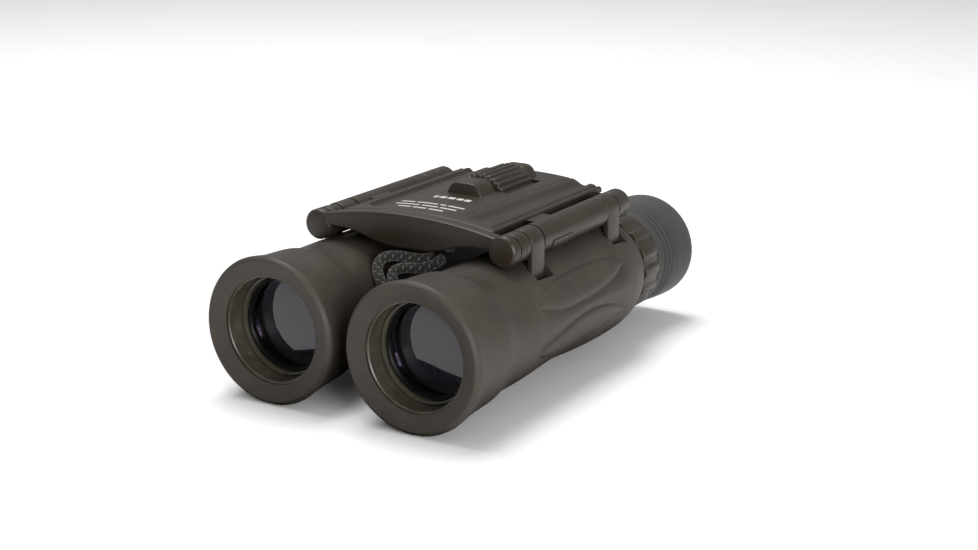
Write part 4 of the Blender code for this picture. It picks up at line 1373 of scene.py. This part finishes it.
    def knuckles(self, side: Side) -> None:
        """The front knuckle, with a closed face and a groove, and the plain rear one."""
        r, bore, tag = LAYOUT.knuckle_r, LAYOUT.pin_bore, side.tag
        first, last = LAYOUT.knuckle
        front = [
            (0, first),
            (r - 0.62, first),
            (r - 0.5, first + 0.04),
            (r - 0.1, first + 0.45),
            (r, first + 0.65),
            (r, 30.45),
            (r - 0.12, 30.55),
            (r - 0.34, 30.6),
            (r - 0.34, 30.95),
            (r - 0.08, 31.0),
            (r - 0.02, 31.1),
            (r - 0.02, last - 0.2),
            (r - 0.2, last),
            (bore, last),
            (bore, first + 1.2),
            (0, first + 1.2),
        ]
        first, last = LAYOUT.rear_knuckle
        rear = [
            (bore, first),
            (r - 0.1, first),
            (r, first + 0.15),
            (r, last - 0.6),
            (r - 0.2, last - 0.2),
            (r - 0.6, last),
            (2.1, last),
            (2.1, 82.3),
            (bore, 82.3),
        ]
        for name, profile in ((f"front_knuckle_{tag}", front), (f"rear_knuckle_{tag}", rear)):
            made = turned(name, profile, LAYOUT.hinge(side))
            dress(made, BRIDGE_ABS, "bridge")

    def washer(self, side: Side) -> None:
        """The friction washer behind the front knuckle."""
        bore, (first, last) = LAYOUT.pin_bore, LAYOUT.washer
        corners = [(bore, first), (self.washer_r, first), (self.washer_r, last), (bore, last)]
        made = turned(f"friction_washer_{side.tag}", eased(corners, 0.18), LAYOUT.hinge(side))
        dress(made, BRIDGE_ABS, "bridge", [f"hinge_washer_{side.tag}"])

    def side_tube(self, side: Side) -> None:
        """The tube round the focus slider, open where its finger and the carriage reach in."""
        centre, r, bore = LAYOUT.hinge(side), LAYOUT.knuckle_r, LAYOUT.pin_bore
        first, last = LAYOUT.side_tube
        room = self.tube_room
        profile = [
            (self.tube_hollow, room),
            (bore, room),
            (bore, first),
            (r, first),
            (r, last),
            (self.tube_hollow, last),
        ]
        tube = turned(f"side_tube_{side.tag}", profile, centre)
        low, high = self.finger_turns()
        sweep = [centre]
        for i in range(9):
            turn = math.radians(low + (high - low) * i / 8)
            x = centre[0] + side.value * self.swing_reach * math.cos(turn)
            sweep.append((x, centre[1] + self.swing_reach * math.sin(turn)))
        xs = LAYOUT.across(side, 18.0, 22.5)
        start, end = self.tongue
        cut(
            tube,
            pushed("tool", sweep, self.swing, 0.0, 1),
            block((xs[0], start, centre[1]), (xs[1], end, centre[1] + self.tongue_high)),
        )
        dress(tube, BRIDGE_ABS, "bridge")

    def webs(self, side: Side) -> None:
        """The webs that tie the hinge line to the deck, and the lid over the carriage's way in."""
        xs = LAYOUT.across(side, *self.web)
        for part, span in self.web_spans:
            outline = [(xs[0], 35.2), (xs[1], 35.2), (xs[1], 37.2), (xs[0], 37.0)]
            made = pushed(f"{part}_web_{side.tag}", outline, span, 0.15, 2)
            dress(made, BRIDGE_ABS, "bridge")
        xs = LAYOUT.across(side, *self.lid)
        (first, last), (low, high) = self.lid_span, self.lid_lift
        lid = block((xs[0], first, LAYOUT.hinge_z + low), (xs[1], last, LAYOUT.hinge_z + high))
        lid.name = f"slot_lid_{side.tag}"
        dress(lid, BRIDGE_ABS, "bridge")

    def finger_turns(self) -> Corner:
        """The turns between which the focusing finger swings, in degrees from straight outwards."""
        hang = math.degrees(
            math.atan2(LAYOUT.axis_z - LAYOUT.hinge_z, LAYOUT.axis_x - LAYOUT.hinge_x)
        )
        return hang - 29.0, hang + 87.0

    def sunk(self, x: np.ndarray, station: np.ndarray) -> np.ndarray:
        """How deep the cover's top lies under the plain arch.

        Args:
            x: distances from the middle.
            station: the stations of the same points.

        Returns:
            The depth in millimetres.
        """
        side = np.abs(x)
        inner = self.panel_half + 0.035 * (station - 32)
        across = self.share(side - inner, 3.2) * self.share(self.scoop_outer - side, 1.1)
        start = 34.2 + 0.35 * np.clip(side - 13.0, 0, 9) ** 1.3
        along = self.share(station - start, 3.0)
        scoop = self.scoop_deep * self.ease(across) * self.ease(along)
        rail = np.exp(-(((side - self.rail_x) / 0.35) ** 2))
        rail_gap = 0.35 * rail * self.share(station - 33.5, 1.0)
        edge = np.exp(-(((side - inner + 0.6) / 0.22) ** 2))
        line = 0.16 * edge * self.share(station - 34.0, 0.6)
        return scoop + rail_gap + line + self.cover_sink

    def share(self, distance: np.ndarray, full: float) -> np.ndarray:
        """How much of a full distance has been covered, from 0 to 1."""
        return np.clip(distance / full, 0, 1)

    def ease(self, share: np.ndarray) -> np.ndarray:
        """A share from 0 to 1 with soft ends."""
        return share * share * (3 - 2 * share)

    def cover(self) -> None:
        """The top cover, with a scoop each side of its middle panel and a rail along each side."""
        xs = np.linspace(-self.arch_half, self.arch_half, 165)
        ss = np.concatenate(
            [[31.9, 32.0, 32.2], np.arange(32.6, 83.8, 0.5), [83.8, self.end]]
        )
        across, along = np.meshgrid(xs, ss)
        plain = np.vectorize(self.arch)(across)
        lip = 0.25 * (self.share(32.2 - along, 0.3) + self.share(along - 83.75, 0.25))
        edge = 0.3 * self.share(np.abs(across) - self.arch_half + 0.35, 0.35) ** 2
        top = plain - self.sunk(across, along) - lip - edge
        low = plain - self.cover_thick
        rows, columns = across.shape
        sheets = [np.stack([across, along, z], 2).reshape(-1, 3) for z in (top, low)]
        points = np.concatenate(sheets)
        under = rows * columns

        def spot(i: int, j: int) -> int:
            """The number of the point at row i and column j."""
            return i * columns + j

        faces = []
        for i in range(rows - 1):
            for j in range(columns - 1):
                quad = [spot(i, j), spot(i, j + 1), spot(i + 1, j + 1), spot(i + 1, j)]
                faces.append(quad)
                faces.append([under + q for q in reversed(quad)])
        for i in range(rows - 1):
            for j in (0, columns - 1):
                here, next_row = spot(i, j), spot(i + 1, j)
                faces.append([here, next_row, under + next_row, under + here])
        for j in range(columns - 1):
            for i in (0, rows - 1):
                here, beside = spot(i, j), spot(i, j + 1)
                faces.append([here, beside, under + beside, under + here])
        made = make_mesh("bridge_cover", points, faces, 38.0)
        cut(made, self.wheel_hole(30.0))
        dress(made, BRIDGE_ABS, "bridge", ["top_cover"])

    def humps(self) -> None:
        """The fairings in front of and behind the focus wheel."""
        base, top = self.arch(0) - 0.7, self.hump_top
        rise = top - base
        half = 5.2
        sides = [(half, 0.0), (4.5, 0.35), (3.7, 0.75), (2.6, 0.96), (1.6, 1.0)]
        right = [(wide, base + rise * share) for wide, share in sides]
        left = [(-wide, z) for wide, z in reversed(right)]
        outline = [(-half, base - 0.5), (half, base - 0.5), *right, *left]
        for part, span in self.hump_spans:
            made = pushed(f"{part}_fairing", outline, span, 0.45, 4)
            dress(made, BRIDGE_ABS, "bridge")

    def marks(self) -> None:
        """Generic pad-printed bars on the middle panel: one bold row and three fine ones."""
        for name, station, tall, spans in self.mark_rows:
            points: list[tuple[float, float, float]] = []
            faces: list[tuple[int, ...]] = []
            for first, last in spans:
                self.bar(points, faces, station, tall, (first, last))
            made = make_mesh(name, np.array(points), faces)
            dress(made, PRINT_INK, "bridge")

    def bar(
        self,
        points: list[tuple[float, float, float]],
        faces: list[tuple[int, ...]],
        station: float,
        tall: float,
        span: Corner,
    ) -> None:
        """Add one printed bar, which follows the cover's arch.

        Args:
            points: the mark's points so far.
            faces: its faces so far.
            station: the middle of the bar.
            tall: its height from front to back.
            span: its first and last x.
        """
        count, (first, last) = 8, span
        row = count + 1
        for lift in self.ink_lift:
            for s in (station - tall / 2, station + tall / 2):
                for i in range(row):
                    x = first + (last - first) * i / count
                    points.append((x, s, self.arch(x) - self.cover_sink + lift))
        start = len(points) - 4 * row
        a, b, c, d = (start + k * row for k in range(4))
        for i in range(count):
            faces += [
                (a + i, a + i + 1, b + i + 1, b + i),
                (c + i, c + i + 1, d + i + 1, d + i),
                (a + i, a + i + 1, c + i + 1, c + i),
                (b + i, b + i + 1, d + i + 1, d + i),
            ]
        faces += [(a, b, d, c), (a + count, b + count, d + count, c + count)]


@dataclass
class FocusWheel:
    """The centre wheel, with rounded ribs and a dished end at each side."""

    radius: float = 7.6
    ribs: int = 30
    rib_deep: float = 0.42
    bore: float = 1.3
    steps_per_rib: int = 10

    def profile(self) -> list[Corner]:
        """Half the wheel's section, as (radius, depth): hub, dish, face and rounded edge."""
        r = self.radius
        return [
            (self.bore, 0.0),
            (2.6, 0.0),
            (2.9, 0.55),
            (5.5, 0.55),
            (5.8, 0.0),
            (r - 1.0, 0.0),
            (r - 0.5, 0.08),
            (r - 0.15, 0.3),
            (r, 0.6),
        ]

    def build(self) -> None:
        """Make and dress the wheel."""
        first, last = LAYOUT.wheel
        half = self.profile()
        section = [(r, first + deep) for r, deep in half] + [
            (r, last - deep) for r, deep in reversed(half)
        ]
        steps = self.ribs * self.steps_per_rib
        points = []
        for i in range(steps):
            turn = 2 * math.pi * i / steps
            dent = 0.5 - 0.5 * max(-1.0, min(1.0, 1.6 * math.cos(turn * self.ribs) + 0.3))
            for r, station in section:
                ribbed = max(0.0, min(1.0, (r - self.radius + 1.0) / 0.8))
                reach = r - self.rib_deep * dent * ribbed
                points.append(
                    (reach * math.cos(turn), station, LAYOUT.shaft_z + reach * math.sin(turn))
                )
        count, faces = len(section), []
        for i in range(steps):
            a, b = i * count, ((i + 1) % steps) * count
            for j in range(count):
                k = (j + 1) % count
                faces.append((a + j, a + k, b + k, b + j))
        wheel = make_mesh("focus_grip", np.array(points), faces, 38.0)
        dress(wheel, BRIDGE_ABS, "focus_wheel", ["focus_wheel"])


# ---------------------------------------------------------------- neck cord
@dataclass
class NeckCord:
    """The braided neck cord: from its loop into a tied hank behind, and back to the loop."""

    diameter: float = 2.5
    length: float = 900.0
    lug: tuple[float, float, float] = (4.0, 38.0, 33.6)
    loop_r: float = 2.05
    hank_ends: Corner = (-60.6, -9.6)
    hank_middle: float = 129.0
    columns: Corner = (7.5, 5.0)
    levels: Sequence[float] = (2.15, 4.65, 7.15)
    bow: float = 0.12
    smoothings: int = 10
    spacing: float = 0.8
    tie_x: float = -34.0
    tie_half: Corner = (3.0, 9.0)
    tie_top: float = 8.75
    tie_thick: float = 0.8
    bight_r: float = 1.2
    bight_apart: float = 1.28
    out: Sequence[tuple[float, float, float]] = (
        (2.6, 34.6, 29.6),
        (1.2, 32.2, 29.4),
        (-1.4, 30.4, 29.9),
        (-4.2, 29.0, 30.2),
        (-6.5, 27.4, 29.6),
        (-6.6, 25.5, 27.6),
        (-4.8, 24.2, 25.2),
        (-3.2, 24.0, 22.4),
        (-2.0, 25.0, 19.4),
        (-1.4, 27.5, 16.0),
        (-1.4, 31.0, 12.4),
        (-1.4, 36.0, 8.4),
        (-1.4, 43.0, 4.6),
        (-1.4, 51.0, 2.2),
        (-1.4, 60.0, 1.45),
        (-1.4, 78.0, 1.4),
        (-1.4, 96.0, 1.4),
        (-1.4, 110.0, 1.4),
        (-2.6, 116.4, 1.4),
        (-6.0, 120.3, 1.5),
        (-12.0, 121.4, 1.9),
    )
    back: Sequence[tuple[float, float, float]] = (
        (5.4, 34.6, 29.6),
        (4.6, 31.6, 28.6),
        (2.2, 29.4, 28.0),
        (-0.8, 28.2, 28.0),
        (-2.9, 26.6, 27.2),
        (-1.8, 24.9, 25.0),
        (-0.2, 24.2, 22.4),
        (0.9, 25.0, 19.4),
        (1.4, 27.5, 16.0),
        (1.4, 31.0, 12.4),
        (1.4, 36.0, 8.4),
        (1.4, 43.0, 4.6),
        (1.4, 51.0, 2.2),
        (1.4, 60.0, 1.45),
        (1.4, 78.0, 1.4),
        (1.4, 96.0, 1.4),
        (1.4, 112.0, 1.4),
        (1.2, 121.0, 1.4),
        (0.2, 127.5, 2.2),
        (-3.0, 132.2, 5.6),
        (-8.0, 134.1, 9.2),
        (-13.5, 134.2, 8.9),
    )

    def hank(self) -> list[tuple[float, float, float]]:
        """The turns of the hank, as points from its first run to its last."""
        wide, narrow = self.columns
        turn_room = wide + self.diameter / 2
        left, right = self.hank_ends[0] + turn_room, self.hank_ends[1] - turn_room
        low, mid, high = self.levels
        order = [
            (-wide, wide, low),
            (-narrow, narrow, low),
            (-narrow, narrow, mid),
            (-wide, wide, mid),
            (-wide, wide, high),
            (-narrow, narrow, high),
        ]
        points: list[tuple[float, float, float]] = []
        for i, (first, last, z) in enumerate(order):
            points += self.run(right, left, first, z)
            points += self.fold(left, first, last, z, z, -1)
            points += self.run(left, right, last, z)
            if i + 1 < len(order):
                following = order[i + 1]
                points += self.fold(right, last, following[0], z, following[2], 1)
        return points

    def run(
        self, start: float, end: float, column: float, z: float
    ) -> list[tuple[float, float, float]]:
        """A straight run of the hank, bowed a little so that it doesn't look ruled."""
        spots = []
        for i in range(7):
            t = i / 6
            bow = self.bow * math.sin(math.pi * t * 2 + column + z)
            spots.append((start + (end - start) * t, self.hank_middle + column + bow, z))
        return spots

    def fold(
        self, x: float, first: float, last: float, z: float, rise: float, way: int
    ) -> list[tuple[float, float, float]]:
        """A half turn at an end of the hank, from one column to another."""
        middle, radius = (first + last) / 2, abs(last - first) / 2
        hand = 1 if last > first else -1
        spots = []
        for i in range(1, 9):
            turn = math.pi * i / 9
            spots.append(
                (
                    x + way * radius * math.sin(turn),
                    self.hank_middle + middle - hand * radius * math.cos(turn),
                    z + (rise - z) * i / 9,
                )
            )
        return spots

    def route(self) -> list[Vector]:
        """One smooth line, evenly spaced, from the loop out to the hank and back.

        Returns:
            The centreline's points in metres.
        """
        rough = [at(*p) for p in [*self.out, *self.hank()[1:-1], *reversed(self.back)]]
        spots = [2 * rough[0] - rough[1], *rough, 2 * rough[-1] - rough[-2]]
        fine: list[Vector] = []
        for a, b, c, d in zip(spots, spots[1:], spots[2:], spots[3:]):
            for i in range(12):
                t = i / 12
                slope = (2 * a - 5 * b + 4 * c - d) * t + (3 * b - a - 3 * c + d) * t * t
                fine.append(b + 0.5 * t * ((c - a) + slope))
        fine.append(rough[-1])
        track = np.array(fine)
        for _ in range(self.smoothings):
            track[1:-1] = (track[:-2] + 2 * track[1:-1] + track[2:]) / 4
        hops = np.linalg.norm(np.diff(track, axis=0), axis=1)
        reach = np.concatenate([[0], np.cumsum(hops)])
        count = int(reach[-1] / (self.spacing * MM))
        even = np.linspace(0, reach[-1], count)
        columns = [np.interp(even, reach, track[:, k]) for k in range(3)]
        return [Vector(p) for p in np.stack(columns, 1)]

    def build(self) -> None:
        """Make and dress the cord, its loop on the bar and the hank's tie."""
        line = self.route()
        long = sum((b - a).length for a, b in zip(line, line[1:]))
        LOG.info("neck cord: %.3f m along its centreline", long)
        cord = tube_along("neck_cord", line, self.diameter / 2, 14)
        dress(
            cord,
            CORD_BRAID,
            "bridge",
            ["neck_cord_out", "neck_cord_back", "cord_hank"],
        )
        tie = self.tie()
        self.loop()

    def loop(self) -> None:
        """The doubled end of the cord, looped on its bar."""
        x0, station, z0 = self.lug
        for i, x in enumerate((x0 - self.bight_apart, x0 + self.bight_apart)):
            ring = [
                at(x, station + self.loop_r * math.cos(t), z0 + self.loop_r * math.sin(t))
                for t in (2 * math.pi * k / 48 for k in range(49))
            ]
            made = tube_along(f"cord_bight_{i + 1}", ring, self.bight_r, 14)
            dress(made, CORD_BRAID, "bridge", ["cord_loop"] if i == 0 else ())

    def tie(self) -> Object:
        """A moulded band round the hank, with rounded edges."""
        long, half = self.tie_half
        top, thick = self.tie_top, self.tie_thick
        inner = eased([(-half, thick), (half, thick), (half, top), (-half, top)], 2.2, 6)
        far, foot, roof = half + thick, 0.02, top + thick
        outer = eased([(-far, foot), (far, foot), (far, roof), (-far, roof)], 2.8, 6)
        count = len(outer)
        points, faces = [], []
        for x in (self.tie_x - long, self.tie_x + long):
            for loop in (outer, inner):
                points += [(x, self.hank_middle + s, z) for s, z in loop]
        for i in range(count):
            j = (i + 1) % count
            a, b, c, d = 0, count, 2 * count, 3 * count
            faces += [
                (a + i, a + j, c + j, c + i),
                (b + i, b + j, d + j, d + i),
                (a + i, a + j, b + j, b + i),
                (c + i, c + j, d + j, d + i),
            ]
        made = make_mesh("hank_tie", np.array(points), faces)
        step = made.modifiers.new("edge", "BEVEL")
        step.width = 0.25 * MM
        step.segments = 2
        return dress(made, CUP_RUBBER, "bridge", ["cord_tie"])


def tube_along(name: str, line: Sequence[Vector], radius: float, around: int) -> Object:
    """A closed tube along a line, with a map of (millimetres along, turns round) for its weave.

    Args:
        name: the piece's name.
        line: its centreline in metres.
        radius: its radius in millimetres.
        around: how many points make each ring.

    Returns:
        The new object.
    """
    up = Vector((0, 0, 1))
    first = (line[1] - line[0]).normalized()
    across = first.cross(up if abs(first.z) < 0.9 else Vector((1, 0, 0))).normalized()
    points, along, reach = [], [], 0.0
    for i, spot in enumerate(line):
        ahead = (line[min(i + 1, len(line) - 1)] - line[max(i - 1, 0)]).normalized()
        across = (across - ahead * across.dot(ahead)).normalized()
        other = ahead.cross(across)
        if i:
            reach += (spot - line[i - 1]).length / MM
        along.append(reach)
        for k in range(around):
            turn = 2 * math.pi * k / around
            points.append(spot + (across * math.cos(turn) + other * math.sin(turn)) * radius * MM)
    mesh = bpy.data.meshes.new(name)
    faces = []
    for i in range(len(line) - 1):
        low, high = i * around, (i + 1) * around
        for k in range(around):
            after = (k + 1) % around
            faces.append((low + k, low + after, high + after, high + k))
    last_ring = (len(line) - 1) * around
    faces += [tuple(reversed(range(around))), tuple(range(last_ring, last_ring + around))]
    mesh.from_pydata([tuple(p) for p in points], [], faces)
    layer = mesh.uv_layers.new(name="braid")
    for face in mesh.polygons:
        ks = [mesh.loops[i].vertex_index % around for i in face.loop_indices]
        wraps = 0 in ks and around - 1 in ks
        for i in face.loop_indices:
            ring, k = divmod(mesh.loops[i].vertex_index, around)
            layer.data[i].uv = (along[ring], (around if wraps and k == 0 else k) / around)
    piece = bpy.data.objects.new(name, mesh)
    bpy.context.scene.collection.objects.link(piece)
    smooth(piece, 60.0)
    return piece


# ---------------------------------------------------------------- what the CAD shows as it is
@dataclass
class Inside:
    """CAD nodes that stay: they get a finish and smooth round faces."""

    finishes: dict[str, Finish] = field(
        default_factory=lambda: {
            "focus_cell": BLACK_ALUMINIUM,
            "focus_lens": CLEAR_GLASS,
            "focus_slider": BRASS,
            "focus_carriage": BRASS,
            "prism_frame": BORE_ABS,
            "half_prism": CLEAR_GLASS,
            "roof_prism": CLEAR_GLASS,
            "eyepiece_tube": BORE_ABS,
            "eyepiece_cell": BLACK_ALUMINIUM,
            "field_lens": CLEAR_GLASS,
            "hinge_pin": STEEL,
            "hinge_bush": BRASS,
            "cover_screw": STEEL,
            "focus_shaft": STEEL,
            "cord_bar": STEEL,
        }
    )

    def rounding(self) -> bpy.types.NodeTree:
        """A modifier group that shades smooth all but the edges over 35 degrees."""
        tree = bpy.data.node_groups.new("round faces", "GeometryNodeTree")
        tree.interface.new_socket("Geometry", in_out="INPUT", socket_type="NodeSocketGeometry")
        tree.interface.new_socket("Geometry", in_out="OUTPUT", socket_type="NodeSocketGeometry")
        start = add_node(tree, "NodeGroupInput").outputs[0]
        merged = add_node(
            tree, "GeometryNodeMergeByDistance", {"Distance": 1e-6}, {"Geometry": start}
        )
        faces = add_node(
            tree, "GeometryNodeSetShadeSmooth", {"domain": "FACE"}, {"Geometry": merged.outputs[0]}
        )
        angle = add_node(tree, "GeometryNodeInputMeshEdgeAngle").outputs["Unsigned Angle"]
        gentle = add_node(
            tree, "FunctionNodeCompare", {"operation": "LESS_THAN", 1: math.radians(35)}, {0: angle}
        )
        edges = add_node(
            tree,
            "GeometryNodeSetShadeSmooth",
            {"domain": "EDGE"},
            {"Geometry": faces.outputs[0], "Shade Smooth": gentle.outputs[0]},
        )
        add_node(tree, "NodeGroupOutput", links={0: edges.outputs[0]})
        return tree

    def build(self) -> None:
        """Dress every node that stays."""
        group = self.rounding()
        for name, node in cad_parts.items():
            kind = name.removesuffix("_right").removesuffix("_left")
            finish = self.finishes.get(kind)
            if finish is None:
                continue
            node.data.materials.clear()
            node.data.materials.append(finish.material())
            step = node.modifiers.new("round faces", "NODES")
            step.node_group = group
            LOG.info("%s: %s", name, finish.title)


# ---------------------------------------------------------------- studio
@dataclass
class Studio:
    """A white sweep, soft lights and the camera."""

    lens: float = 66.41
    azimuth: float = 31.075
    elevation: float = 15.751
    camera_at: tuple[float, float, float] = (0.22061, -0.35837, 0.13825)
    sensor: float = 36.0
    near_clip: float = 0.01
    floor_half: float = 6.0
    sky_light: float = 0.38
    aim: tuple[float, float, float] = (0, 0, 0.02)
    card_lift: float = 0.03
    card_edge: Sequence[Corner] = (
        (-34.0, 0.0),
        (-31.5, -7.0),
        (-26.0, -11.5),
        (-17.4, -15.8),
        (-7.0, -18.0),
        (2.5, -17.0),
        (19.5, -12.0),
        (29.6, -1.0),
        (36.0, 21.0),
        (38.0, 50.0),
        (38.0, 84.0),
        (-36.0, 84.0),
    )

    def build(self) -> None:
        """Set up the camera, the floor and the lights."""
        self.camera()
        self.floor()
        self.sky()
        self.flag()
        self.softbox("overhead", (-0.2, 0.1, 0.8), (0.5, 0.5), 6.0)
        self.softbox("window", (0.8, -0.5, 0.28), (0.5, 0.4), 7.0)
        bpy.context.scene.view_settings.view_transform = "Standard"

    def camera(self) -> None:
        """The camera, level and unshifted."""
        data = bpy.data.cameras.new("camera")
        data.lens = self.lens
        data.sensor_width = self.sensor
        data.clip_start = self.near_clip
        camera = bpy.data.objects.new("camera", data)
        camera.location = self.camera_at
        tilt, swing = math.radians(90 - self.elevation), math.radians(self.azimuth)
        camera.rotation_euler = (tilt, 0, swing)
        bpy.context.scene.collection.objects.link(camera)
        bpy.context.scene.camera = camera

    def floor(self) -> None:
        """A wide white floor at the table's height."""
        mesh = bpy.data.meshes.new("floor")
        half = self.floor_half
        corners = [(-half, -half, 0), (half, -half, 0), (half, half, 0), (-half, half, 0)]
        mesh.from_pydata(corners, [], [(0, 1, 2, 3)])
        floor = bpy.data.objects.new("floor", mesh)
        bpy.context.scene.collection.objects.link(floor)
        paper = Printed("White paper sweep", "FBFBFB", 0.9, under="F6F6F6", patch_mm=80.0)
        floor.data.materials.append(paper.material())

    def flag(self) -> None:
        """A black card on the table in front, which only reflections and soft bounced light see."""
        mesh = bpy.data.meshes.new("black card")
        corners = [at(x, station, self.card_lift) for x, station in self.card_edge]
        mesh.from_pydata(corners, [], [tuple(range(len(corners)))])
        card = bpy.data.objects.new("black card", mesh)
        bpy.context.scene.collection.objects.link(card)
        flock = Printed(
            "Black flocked card", "0A0A0A", 0.95, under="060606", patch_mm=20.0
        ).material()
        tree = flock.node_tree
        under = add_node(tree, "ShaderNodeNewGeometry").outputs["Backfacing"]
        clear = add_node(tree, "ShaderNodeBsdfTransparent").outputs[0]
        dark = tree.nodes["Principled BSDF"].outputs[0]
        face = add_node(tree, "ShaderNodeMixShader", links={0: under, 1: dark, 2: clear})
        tree.links.new(face.outputs[0], tree.nodes["Material Output"].inputs["Surface"])
        card.data.materials.append(flock)
        card.visible_camera = False
        card.visible_shadow = False

    def sky(self) -> None:
        """Even white light from all round."""
        world = bpy.data.worlds.new("studio")
        world.use_nodes = True
        light = world.node_tree.nodes["Background"]
        light.inputs["Color"].default_value = (1, 1, 1, 1)
        light.inputs["Strength"].default_value = self.sky_light
        bpy.context.scene.world = world

    def softbox(self, name: str, where: Sequence[float], size: Corner, power: float) -> None:
        """A rectangular light of so many watts that faces the binoculars."""
        data = bpy.data.lights.new(name, "AREA")
        data.shape = "RECTANGLE"
        data.size, data.size_y = size
        data.energy = power
        light = bpy.data.objects.new(name, data)
        light.location = where
        light.rotation_euler = (Vector(where) - Vector(self.aim)).to_track_quat("Z", "Y").to_euler()
        bpy.context.scene.collection.objects.link(light)


def main() -> None:
    """Build the studio, the cord and then the binoculars."""
    logging.basicConfig(level=logging.INFO, format="%(name)s %(message)s")
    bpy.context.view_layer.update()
    Studio().build()
    NeckCord().build()
    for side in Side:
        Armour(side).build()
        ObjectiveEnd(side).build()
        EyepieceEnd(side).build()
        Arms(side).build()
    Bridge().build()
    FocusWheel().build()
    Inside().build()


if __name__ == "__main__":
    main()
